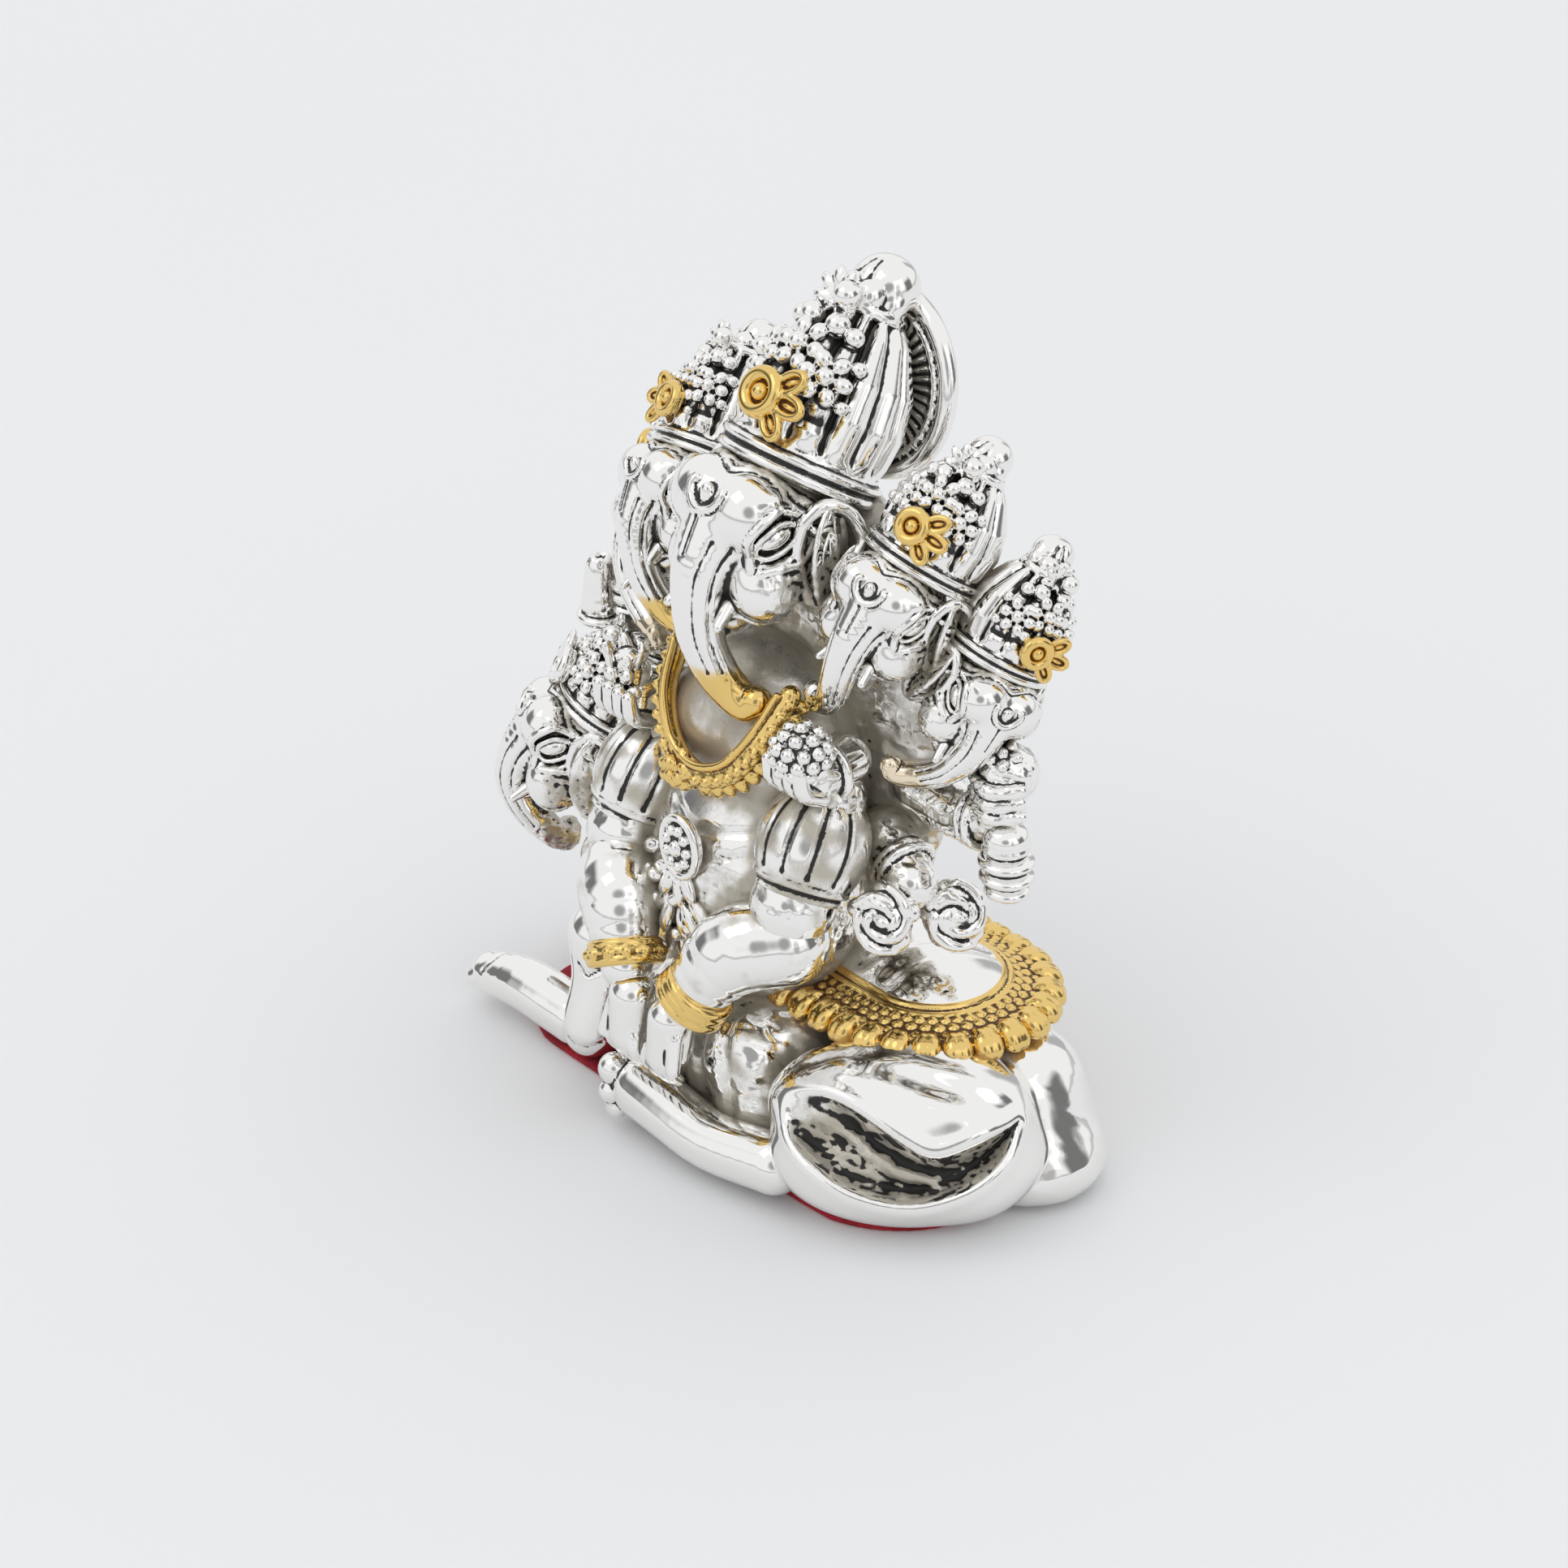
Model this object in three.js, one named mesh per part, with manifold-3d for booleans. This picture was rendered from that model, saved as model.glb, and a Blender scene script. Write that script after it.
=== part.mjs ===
// Seated many-headed elephant deity, a silver-plated table idol on a velvet pad.
// Millimetres, +Z up. The idol faces -Y and its own left hand is on the +X side.
// The origin is on the surface it stands on, under the middle of the whole piece.
import * as THREE from "three";
import { mergeVertices } from "three/addons/utils/BufferGeometryUtils.js";
import Module from "manifold-3d";

const wasm = await Module();
wasm.setup();

// ---- Driving dimensions -------------------------------------------------------------
const CLEARANCE = 0.3; // free gap that every piece keeps to the pieces beside it

// Underside: a glued velvet pad and the folded robe that the figure sits on
const PAD_THICKNESS = 0.9;
const PAD_HALF_WIDTH = 39;
const PAD_HALF_DEPTH = 16;
const PAD_CENTRE_Y = 0.5;
const SEAT_HALF_WIDTH = 46;
const SEAT_END_RADIUS = 10.5;
const SEAT_CENTRE_Y = 10.5;
const SEAT_TOP = 19.5;

// Hip cloth: a dome inside a beaded brim, two half circles joined by straight sides
const HIP_CENTRE_X = 21;
const HIP_CENTRE_Y = 8;
const HIP_RADIUS = 10.5;
const HIP_HEIGHT = 6.5;
const BRIM_WIDTH = 4.6;
const BRIM_THICKNESS = 3.4;
const BEAD_PITCH = 4.4;
const BEAD_DEPTH = 0.9;

// Body
const BELLY_HALF_WIDTH = 15;
const BELLY_HALF_DEPTH = 12;
const BELLY_HALF_HEIGHT = 18;
const BELLY_CENTRE_Z = 33;
const CHEST_HALF_WIDTH = 13.5;
const CHEST_HALF_DEPTH = 9;
const CHEST_RISE = 20; // chest centre above belly centre
const BACK_HALF_WIDTH = 22;
const BACK_RISE = 6; // top of the back above the middle head's centre
const NECK_RADIUS = 5;
const NECK_DROP = 22; // neck end below the middle head's centre

// Legs
const LEFT_LEG_LENGTH = 34;
const LEFT_LEG_THICKNESS = 17;
const LEFT_KNEE_TURN = 49; // degrees from +X towards +Y
const RIGHT_KNEE_HEIGHT = 22;
const SHIN_RADIUS = 4.6;
const FOOT_RADIUS = 3.5;
const RIGHT_FOOT_LENGTH = 19;

// Arms
const SHOULDER_HEIGHT = 50;
const ARM_RADIUS = 5.2;
const SLEEVE_WALL = 1.5;
const WRIST_RADIUS = 3;
const BANGLE_WALL = 1.1;
const BANGLE_WIDTH = 2.4;
const REAR_ARM_RADIUS = 3.2;

// Heads and crowns, at the size of the middle head
const HEAD_RADIUS = 9.6;
const TRUNK_RADIUS = 4.2;
const TRUNK_LENGTH = 21;
const CROWN_RADIUS = 9.4;
const CROWN_HEIGHT = 31;
const CROWN_LEAN = 33; // degrees that a crown leans back from its head
const PAIR_CROWN_HEIGHT = 27;
const SIDE_CROWN_HEIGHT = 19;
const SIDE_CROWN_LEAN = 25;
const FLOWER_RADIUS = 3.5;
const HALO_RADIUS = 14;
const HALO_THICKNESS = 2.6;
const MIDDLE_HEAD_HEIGHT = 80;
const BREAST_DROP = 27; // middle of the necklace and rear palms below the middle head's centre

// Worked out from the sizes above
const FIGURE_BOTTOM = PAD_THICKNESS + CLEARANCE;
const HIP_BOTTOM = SEAT_TOP + CLEARANCE;
const CHEST_CENTRE_Z = BELLY_CENTRE_Z + CHEST_RISE;
const BACK_CENTRE_Z = CHEST_CENTRE_Z + 2;
const BACK_HALF_HEIGHT = MIDDLE_HEAD_HEIGHT + BACK_RISE - BACK_CENTRE_Z;
const BREAST_Z = MIDDLE_HEAD_HEIGHT - BREAST_DROP;
const BELLY_CENTRE_Y = -2.5;
const LEFT = 1;
const RIGHT = -1;

// ---- Finishes ------------------------------------------------------------------------
const silver = { color: 0xdcdbd6, roughness: 0.14, metalness: 1 };
const gold = { color: 0xd9a441, roughness: 0.2, metalness: 1 };
const velvet = { color: 0x8c0a14, roughness: 0.95, metalness: 0 };

// ---- Solids --------------------------------------------------------------------------
const vec = (x, y, z) => new THREE.Vector3(x, y, z);
const degrees = THREE.MathUtils.degToRad;
const CAP_STEPS = 2; // faces between a limb's side and the pole of its round end

function solidOf(geometry) {
  geometry.deleteAttribute("normal");
  geometry.deleteAttribute("uv");
  const merged = mergeVertices(geometry, 1e-4);
  const vertProperties = new Float32Array(merged.attributes.position.array);
  const triVerts = new Uint32Array(merged.index.array);
  return new wasm.Manifold(new wasm.Mesh({ numProp: 3, vertProperties, triVerts }));
}

function geometryOf(solid) {
  const mesh = solid.getMesh();
  const geometry = new THREE.BufferGeometry();
  geometry.setAttribute("position", new THREE.BufferAttribute(mesh.vertProperties, 3));
  geometry.setIndex(new THREE.BufferAttribute(mesh.triVerts, 1));
  geometry.computeVertexNormals();
  return geometry;
}

const join = (solids) => solids.reduce((whole, next) => whole.add(next));

// An ellipsoid. frame is an optional matrix that turns it before it is put in place.
function ball(at, radii, grow = 0, frame = null, around = 8) {
  const geometry = new THREE.SphereGeometry(1, around, Math.round(around * 0.66));
  geometry.rotateX(Math.PI / 2);
  geometry.scale(radii.x + grow, radii.y + grow, radii.z + grow);
  if (frame) geometry.applyMatrix4(frame);
  geometry.translate(at.x, at.y, at.z);
  return solidOf(geometry);
}

// One stretch of a limb: a tapered capsule between two round ends { at, r }.
function stretch(from, to, grow, around) {
  const along = to.at.clone().sub(from.at);
  const points = [];
  for (const [{ r }, z, start] of [[from, 0, -90], [to, along.length(), 0]]) {
    for (let i = 0; i <= CAP_STEPS; i += 1) {
      const angle = degrees(start + (90 * i) / CAP_STEPS);
      const radius = Math.max(0, (r + grow) * Math.cos(angle));
      points.push([radius < 1e-6 ? 0 : radius, z + (r + grow) * Math.sin(angle)]);
    }
  }
  const turn = new THREE.Matrix4().makeRotationFromQuaternion(
    new THREE.Quaternion().setFromUnitVectors(vec(0, 0, 1), along.normalize()));
  return moved(turned(points, around), turn.setPosition(from.at));
}

// A limb: a chain of round joints { at, r } with tapered stretches between them.
function limb(joints, grow = 0, around = 8) {
  const stretches = joints.slice(1).map((to, i) => stretch(joints[i], to, grow, around));
  return join(stretches);
}

// A turned form about +Z from [radius, height] pairs.
function turned(profile, around = 10) {
  const points = profile.map(([r, z]) => new THREE.Vector2(r, z));
  const geometry = new THREE.LatheGeometry(points, around);
  geometry.rotateX(Math.PI / 2);
  return solidOf(geometry);
}

function slab(halfX, halfY, bottom, top) {
  const geometry = new THREE.BoxGeometry(2 * halfX, 2 * halfY, top - bottom);
  geometry.translate(0, 0, (bottom + top) / 2);
  return solidOf(geometry);
}

// Everything below a level is cut off, so that a piece rests flat.
const cutBelow = (solid, level) => solid.subtract(slab(200, 200, level - 200, level));

// The matrix of a frame with the given up and gaze directions: local +Z is up, -Y is gaze.
function framed(up, gaze) {
  const z = up.clone().normalize();
  const y = gaze.clone().negate();
  y.addScaledVector(z, -y.dot(z)).normalize();
  return new THREE.Matrix4().makeBasis(y.clone().cross(z), y, z);
}

// manifold-3d takes the same 16 numbers, column by column.
const moved = (solid, matrix) => solid.transform(matrix.elements);

// ---- Pieces, in the order in which they clear each other -----------------------------
const pieces = [];
const piece = (name, finish, shape) => pieces.push({ name, finish, shape });

// A stadium outline about (0, centreY): two half circles joined by straight sides, in
// count points. outwards(share) moves the outline out at a share of the way around.
function stadium(halfStraight, radius, centreY, count, outwards) {
  const straight = 2 * halfStraight;
  const arc = Math.PI * radius;
  const total = 2 * (straight + arc);
  const points = [];
  for (let i = 0; i < count; i += 1) {
    const s = (i * total) / count;
    const r = radius + outwards(s / total);
    const onRight = s < straight + arc;
    const t = onRight ? s : s - straight - arc;
    const angle = t < straight ? 0 : (t - straight) / radius;
    const along = t < straight ? t - halfStraight : halfStraight;
    const x = along + r * Math.sin(angle);
    const y = -r * Math.cos(angle);
    points.push(new THREE.Vector2(onRight ? x : -x, (onRight ? y : -y) + centreY));
  }
  return points;
}

piece("velvet_pad", velvet, (grow) => {
  const corner = PAD_HALF_DEPTH;
  const outline = stadium(
    PAD_HALF_WIDTH - corner, corner, PAD_CENTRE_Y, 40, () => grow);
  const geometry = new THREE.ExtrudeGeometry(new THREE.Shape(outline), {
    depth: PAD_THICKNESS + grow,
    bevelEnabled: false,
  });
  return solidOf(geometry);
});

piece("torso", silver, (grow) => join([
  ball(vec(0, BELLY_CENTRE_Y, BELLY_CENTRE_Z),
    vec(BELLY_HALF_WIDTH, BELLY_HALF_DEPTH, BELLY_HALF_HEIGHT), grow, null, 12),
  ball(vec(0, 0, CHEST_CENTRE_Z),
    vec(CHEST_HALF_WIDTH, CHEST_HALF_DEPTH, CHEST_HALF_DEPTH + 2), grow, null, 10),
  limb([
    { at: vec(0, 0, CHEST_CENTRE_Z), r: NECK_RADIUS },
    { at: vec(0, 0, MIDDLE_HEAD_HEIGHT - NECK_DROP), r: NECK_RADIUS },
  ], grow, 8),
]));

piece("seat_robe", silver, (grow) => {
  const endX = SEAT_HALF_WIDTH - SEAT_END_RADIUS;
  const roll = limb([
    { at: vec(-endX, SEAT_CENTRE_Y, SEAT_END_RADIUS), r: SEAT_END_RADIUS },
    { at: vec(endX, SEAT_CENTRE_Y, SEAT_END_RADIUS), r: SEAT_END_RADIUS },
  ], grow, 12);
  const flat = cutBelow(roll, FIGURE_BOTTOM - grow);
  return flat.subtract(slab(200, 200, SEAT_TOP + grow, 200));
});

piece("hip_cloth", silver, (grow) => {
  const height = HIP_HEIGHT;
  const lobes = [LEFT, RIGHT].map((side) => ball(
    vec(side * HIP_CENTRE_X, HIP_CENTRE_Y, HIP_BOTTOM),
    vec(HIP_RADIUS, HIP_RADIUS, height), grow, null, 12));
  const bridge = new THREE.CylinderGeometry(1, 1, 2 * HIP_CENTRE_X, 16);
  bridge.rotateZ(Math.PI / 2);
  bridge.scale(1, HIP_RADIUS + grow, height + grow);
  bridge.translate(0, HIP_CENTRE_Y, HIP_BOTTOM);
  return cutBelow(join([...lobes, solidOf(bridge)]), HIP_BOTTOM - grow);
});

piece("beaded_brim", gold, (grow) => {
  const inner = HIP_RADIUS + CLEARANCE;
  const outer = inner + BRIM_WIDTH;
  const around = 4 * HIP_CENTRE_X + 2 * Math.PI * outer;
  const beads = Math.round(around / BEAD_PITCH);
  const ripple = (share) => BEAD_DEPTH * Math.abs(Math.sin(share * beads * Math.PI));
  const outline = new THREE.Shape(
    stadium(HIP_CENTRE_X, outer, HIP_CENTRE_Y, 2 * beads, (share) => grow + ripple(share)));
  outline.holes.push(new THREE.Path(
    stadium(HIP_CENTRE_X, inner, HIP_CENTRE_Y, beads, () => -grow)));
  const geometry = new THREE.ExtrudeGeometry(outline, {
    depth: BRIM_THICKNESS + 2 * grow,
    bevelEnabled: false,
  });
  geometry.translate(0, 0, HIP_BOTTOM - grow);
  return solidOf(geometry);
});

piece("back", silver, (grow) => cutBelow(ball(
  vec(0, HIP_CENTRE_Y + 1, BACK_CENTRE_Z),
  vec(BACK_HALF_WIDTH, 8, BACK_HALF_HEIGHT), grow, null, 12),
HIP_BOTTOM + HIP_HEIGHT - 2 - grow));

// The folded left leg: a thigh roll lying on a calf roll, knee out to the side.
piece("left_leg", silver, (grow) => {
  const turn = new THREE.Matrix4().makeRotationZ(degrees(LEFT_KNEE_TURN));
  const half = LEFT_LEG_LENGTH / 2;
  const thick = LEFT_LEG_THICKNESS / 2;
  const calf = ball(vec(32, -6, FIGURE_BOTTOM + thick - 1), vec(half, 11, thick), grow, turn, 12);
  const thigh = ball(vec(29, -3, FIGURE_BOTTOM + thick + 6), vec(half, 11, thick), grow, turn, 12);
  return cutBelow(calf.add(thigh), FIGURE_BOTTOM - grow);
});

piece("left_foot", silver, (grow) => cutBelow(limb([
  { at: vec(18, -18, FIGURE_BOTTOM + FOOT_RADIUS), r: FOOT_RADIUS },
  { at: vec(6, -19.5, FIGURE_BOTTOM + FOOT_RADIUS), r: FOOT_RADIUS },
  { at: vec(-4, -18.5, FIGURE_BOTTOM + FOOT_RADIUS + 1), r: FOOT_RADIUS + 0.8 },
], grow, 8), FIGURE_BOTTOM - grow));

piece("lap_cloth", silver, (grow) => cutBelow(ball(
  vec(1, -8, FIGURE_BOTTOM + 10), vec(15, 9, 11), grow, null, 10), FIGURE_BOTTOM - grow));

const rightKnee = vec(-21, -10, RIGHT_KNEE_HEIGHT - SHIN_RADIUS);
const rightAnkle = vec(-20, -13, FIGURE_BOTTOM + FOOT_RADIUS);

piece("right_shin", silver, (grow) => cutBelow(limb([
  { at: rightKnee, r: SHIN_RADIUS },
  { at: rightAnkle, r: FOOT_RADIUS + 0.6 },
], grow, 8), FIGURE_BOTTOM - grow));

piece("right_thigh", silver, (grow) => limb([
  { at: vec(-12, 0, RIGHT_KNEE_HEIGHT - 9), r: 8 },
  { at: rightKnee.clone().add(vec(2, 4, -1)), r: 5.4 },
], grow, 8));

piece("right_foot", silver, (grow) => {
  const heel = rightAnkle.clone().add(vec(-2, -0.5, 0));
  const toe = rightAnkle.clone().add(vec(-RIGHT_FOOT_LENGTH, -1.5, 0));
  const instep = heel.clone().lerp(toe, 0.5).add(vec(0, 0, 0.8));
  return cutBelow(limb([
    { at: heel, r: FOOT_RADIUS },
    { at: instep, r: FOOT_RADIUS },
    { at: toe, r: FOOT_RADIUS - 0.7 },
  ], grow, 8), FIGURE_BOTTOM - grow);
});

// ---- Front arms -----------------------------------------------------------------------
const elbowZ = SHOULDER_HEIGHT - 12;

for (const [word, side] of [["left", LEFT], ["right", RIGHT]]) {
  const lower = side === LEFT ? 0 : 3; // the right arm hangs a little lower
  const shoulder = vec(side * 14.5, -4, SHOULDER_HEIGHT - lower);
  const elbow = vec(side * 15.5, -10.5, elbowZ - lower);
  const bend = vec(side * 10.5, -16, elbowZ - 7 - lower / 2);
  const wrist = vec(side * 6, -19, elbowZ - 15);
  const along = wrist.clone().sub(bend).normalize();

  piece(`${word}_upper_arm`, silver, (grow) => limb([
    { at: shoulder, r: ARM_RADIUS - 0.6 },
    { at: elbow, r: ARM_RADIUS },
  ], grow, 8));

  piece(`${word}_sleeve`, silver, (grow) => {
    const bulge = ARM_RADIUS + CLEARANCE + SLEEVE_WALL;
    const reach = shoulder.distanceTo(elbow) / 2;
    const upwards = framed(shoulder.clone().sub(elbow), vec(0, -1, 0));
    const middle = shoulder.clone().lerp(elbow, 0.45);
    return ball(middle, vec(bulge, bulge, reach + 2), grow, upwards, 10);
  });

  piece(`${word}_forearm`, silver, (grow) => limb([
    { at: elbow.clone().add(vec(0, -1, -5)), r: ARM_RADIUS },
    { at: bend, r: ARM_RADIUS - 0.2 },
    { at: wrist, r: WRIST_RADIUS },
  ], grow, 8));

  piece(`${word}_bangle`, gold, (grow) => {
    const inner = WRIST_RADIUS + CLEARANCE + 0.5 - grow;
    const outer = WRIST_RADIUS + CLEARANCE + 0.5 + BANGLE_WALL + grow;
    const half = BANGLE_WIDTH / 2 + grow;
    const ring = turned([
      [inner, -half], [outer, -half], [outer + 0.3, 0], [outer, half], [inner, half],
      [inner, -half],
    ], 10);
    const matrix = framed(along.clone().negate(), vec(0, -1, 0));
    return moved(ring, matrix.setPosition(wrist.clone().addScaledVector(along, -1.2)));
  });

  piece(`${word}_hand`, silver, (grow) => limb([
    { at: wrist.clone().addScaledVector(along, 5), r: WRIST_RADIUS },
    { at: wrist.clone().add(vec(-side * 2.5, -1.5, -9)), r: WRIST_RADIUS - 0.4 },
  ], grow, 7));
}

// ---- Raised and rear arms, and what they hold -------------------------------------------
for (const [word, side] of [["left", LEFT], ["right", RIGHT]]) {
  const palmZ = CHEST_CENTRE_Z + (side === LEFT ? 2 : -1);

  piece(`${word}_raised_hand`, silver, (grow) => limb([
    { at: vec(side * 15, -2, palmZ - 1), r: REAR_ARM_RADIUS },
    { at: vec(side * 16.5, -8.5, palmZ), r: REAR_ARM_RADIUS },
  ], grow, 7));

  piece(`${word}_rear_arm`, silver, (grow) => limb([
    { at: vec(side * 19, 7, BREAST_Z - 3), r: REAR_ARM_RADIUS + 0.6 },
    { at: vec(side * 27, 7, BREAST_Z - 4), r: REAR_ARM_RADIUS },
    { at: vec(side * 33, 7, BREAST_Z - 1), r: REAR_ARM_RADIUS - 0.2 },
  ], grow, 7));

  piece(`${word}_lower_arm`, silver, (grow) => limb([
    { at: vec(side * 17, 3, CHEST_CENTRE_Z - 10), r: REAR_ARM_RADIUS + 0.4 },
    { at: vec(side * (side === LEFT ? 24 : 27), 1, CHEST_CENTRE_Z - 13), r: REAR_ARM_RADIUS },
  ], grow, 7));
}

// A ball or bud in a hand.
function held(name, at, radii) {
  piece(name, silver, (grow) => ball(at, radii, grow, null, 8));
}

held("berry_ball", vec(16.5, -10, CHEST_CENTRE_Z + 6), vec(4.3, 4.3, 4.3));
held("flower_bunch", vec(-18, -8, CHEST_CENTRE_Z + 1), vec(4.3, 4, 5.5));
held("left_fruit", vec(33.5, 8, BREAST_Z + 4), vec(4, 4, 4));
held("left_bud", vec(35.5, 6, BREAST_Z - 6), vec(3.8, 3.8, 5));
held("right_fruit", vec(-33.5, 8, BREAST_Z + 4), vec(4, 4, 4));
held("right_bud", vec(-36.5, 2.8, BREAST_Z + 2.5), vec(3.4, 3.4, 5.2));
held("front_rose", vec(23.5, -2.5, CHEST_CENTRE_Z - 16), vec(4.6, 3.6, 4.8));
held("rear_rose", vec(26, 6, CHEST_CENTRE_Z - 18), vec(4.4, 4.4, 4.2));

// ---- Heads, crowns and crown flowers ------------------------------------------------------
// at: head centre; up: crown direction; gaze: where the face looks; size: against the
// middle head; curl: the side that the trunk tip turns to; tuck: how far the tip is drawn
// back under the face.
const MIDDLE_CROWN = { height: CROWN_HEIGHT, lean: CROWN_LEAN };
const PAIR_CROWN = { height: PAIR_CROWN_HEIGHT, lean: CROWN_LEAN };
const SIDE_CROWN = { height: SIDE_CROWN_HEIGHT, lean: SIDE_CROWN_LEAN };
const innerZ = MIDDLE_HEAD_HEIGHT - 4.5;
const outerZ = MIDDLE_HEAD_HEIGHT - 15;
const heads = [
  { word: "middle", at: vec(0, -2.8, MIDDLE_HEAD_HEIGHT), up: vec(0, 0, 1),
    gaze: vec(0, -1, 0), size: 1, curl: LEFT, tuck: 0, crown: MIDDLE_CROWN },
  ...[["left", LEFT], ["right", RIGHT]].flatMap(([word, side]) => [
    { word: `inner_${word}`, at: vec(side * 19, 1.5, innerZ), up: vec(side * 0.255, 0.045, 0.966),
      gaze: vec(side * 0.174, -0.985, 0), size: 0.73, curl: -side, tuck: 0, crown: PAIR_CROWN },
    { word: `outer_${word}`, at: vec(side * 28.5, 7.5, outerZ), up: vec(side * 0.64, 0.21, 0.74),
      gaze: vec(side * 0.7, -0.57, -0.44), size: 0.66, curl: -side, tuck: 0, crown: PAIR_CROWN },
  ]),
  { word: "side", at: vec(-34, -4, CHEST_CENTRE_Z - 16.5), up: vec(0, 0.05, 1),
    gaze: vec(-0.62, -0.78, 0), size: 0.78, curl: RIGHT, tuck: 7, crown: SIDE_CROWN },
];

// A head in its own frame, at the middle head's size.
function headShape(curl, tuck, grow) {
  const r = HEAD_RADIUS;
  const skull = ball(vec(0, 0, 0), vec(r, r * 0.95, r * 1.04), grow, null, 9);
  const ears = [LEFT, RIGHT].map((side) => ball(
    vec(side * r * 0.95, r * 0.35, -1), vec(3, 2.2, 7), grow, null, 6));
  const front = -r * 0.7;
  const trunk = limb([
    { at: vec(0, front, -1), r: TRUNK_RADIUS + 0.6 },
    { at: vec(curl * 0.6, front - 1.6, -TRUNK_LENGTH * 0.45), r: TRUNK_RADIUS - 0.4 },
    { at: vec(curl * 2.4, front + tuck * 0.6, -TRUNK_LENGTH * 0.82), r: TRUNK_RADIUS * 0.66 },
    { at: vec(curl * 5.5, front + 1 + tuck, -TRUNK_LENGTH * 0.95), r: TRUNK_RADIUS * 0.5 },
  ], grow, 6);
  return join([skull, ...ears, trunk]);
}

// Where a crown stands on its head, and which way it leans.
function crownFrame(lean) {
  const turn = new THREE.Matrix4().makeRotationX(-degrees(lean));
  return turn.setPosition(0, HEAD_RADIUS * 0.62, HEAD_RADIUS * 0.55);
}

function crownShape(crown, grow) {
  const r = CROWN_RADIUS;
  const h = crown.height;
  const profile = [
    [r * 0.98, 0], [r * 1.06, h * 0.08], [r, h * 0.13], [r * 1.07, h * 0.3],
    [r * 0.96, h * 0.48], [r * 0.66, h * 0.66], [r * 0.4, h * 0.76], [r * 0.45, h * 0.84],
    [r * 0.36, h * 0.94],
  ];
  const grown = profile.map(([radius, z]) => [radius + grow, z]);
  const form = turned([[0, -grow], [r * 0.98 + grow, -grow], ...grown, [0, h + grow]], 10);
  return moved(form, crownFrame(crown.lean));
}

// A flower on the crown's front: a rolled ring round a dome, with two leaves at one side.
function flowerShape(crown, leafSide, grow) {
  const r = FLOWER_RADIUS;
  const bloom = turned([
    [0, -grow], [r + grow, -grow], [r * 1.06 + grow, 1 + grow], [r * 0.9 + grow, 1.9 + grow],
    [r * 0.4 + grow, 2 + grow], [0, 2.6 + grow],
  ], 10);
  const leaves = [0.35, -0.5].map((rise) => ball(
    vec(leafSide * r * 1.45, -rise * 4, 0.9), vec(2.4, 1.2, 1), grow, null, 8));
  const stand = new THREE.Matrix4().makeRotationX(Math.PI / 2);
  const out = CROWN_RADIUS * 1.07 + CLEARANCE;
  stand.setPosition(0, -out, crown.height * 0.27);
  return moved(moved(join([bloom, ...leaves]), stand), crownFrame(crown.lean));
}

for (const { word, at, up, gaze, size, curl, tuck, crown } of heads) {
  const pose = framed(up, gaze);
  pose.scale(vec(size, size, size));
  pose.setPosition(at);
  const inPlace = (shape) => (grow) => moved(shape(grow / size), pose);
  piece(`${word}_head`, silver, inPlace((grow) => headShape(curl, tuck, grow)));
  piece(`${word}_crown`, silver, inPlace((grow) => crownShape(crown, grow)));
  const bloomFinish = word === "side" ? silver : gold;
  piece(`${word}_crown_flower`, bloomFinish,
    inPlace((grow) => flowerShape(crown, at.x < 0 ? RIGHT : LEFT, grow)));
}

piece("halo", silver, (grow) => {
  const disc = new THREE.CylinderGeometry(
    HALO_RADIUS + grow, HALO_RADIUS + grow, HALO_THICKNESS + 2 * grow, 16);
  const height = MIDDLE_HEAD_HEIGHT + 17;
  disc.rotateX(degrees(-12));
  disc.translate(0, 17.5, height);
  return solidOf(disc);
});

// ---- Jewellery on the chest and belly -------------------------------------------------------
const breastY = -CHEST_HALF_DEPTH;

piece("necklace", gold, (grow) => {
  const path = new THREE.CatmullRomCurve3([
    vec(-10, breastY + 3, BREAST_Z + 10), vec(-8, breastY - 1, BREAST_Z + 5),
    vec(-4, breastY - 2.4, BREAST_Z), vec(0, breastY - 3.4, BREAST_Z - 2.5),
    vec(4, breastY - 2.4, BREAST_Z), vec(8, breastY - 1, BREAST_Z + 5),
    vec(10, breastY + 3, BREAST_Z + 10),
  ]);
  const section = new THREE.Shape();
  section.absellipse(0, 0, 2.4 + grow, 1.7 + grow, 0, 2 * Math.PI);
  return solidOf(new THREE.ExtrudeGeometry(section, {
    extrudePath: path, steps: 14, curveSegments: 3, bevelEnabled: false,
  }));
});

piece("belly_medallion", silver, (grow) => ball(
  vec(0, BELLY_CENTRE_Y - BELLY_HALF_DEPTH, BELLY_CENTRE_Z + 8),
  vec(3.6, 2, 4.4), grow, null, 8));

piece("belly_garland", silver, (grow) => {
  const drop = BELLY_HALF_HEIGHT * 0.55;
  const front = BELLY_CENTRE_Y - BELLY_HALF_DEPTH;
  const leaves = [];
  for (let i = 0; i < 5; i += 1) {
    const share = i / 4;
    const z = BELLY_CENTRE_Z + 3.6 - drop * 1.35 * share;
    const lean = Math.sqrt(Math.max(0.1, 1 - ((z - BELLY_CENTRE_Z) / BELLY_HALF_HEIGHT) ** 2));
    const y = BELLY_CENTRE_Y + (front - BELLY_CENTRE_Y) * lean;
    leaves.push(ball(vec(-1.5, y, z), vec(4.2 - share, 1.7, 2.4), grow, null, 6));
  }
  return join(leaves);
});

// ---- Assembly ------------------------------------------------------------------------------
function overlapping(a, b) {
  return ["0", "1", "2"].every((axis) => a.min[axis] < b.max[axis] && b.min[axis] < a.max[axis]);
}

// Cutting can leave loose crumbs past a neighbour. The piece is its largest body.
function mainBody(solid) {
  const bodies = solid.decompose();
  return bodies.reduce((best, next) => (next.volume() > best.volume() ? next : best));
}

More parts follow.
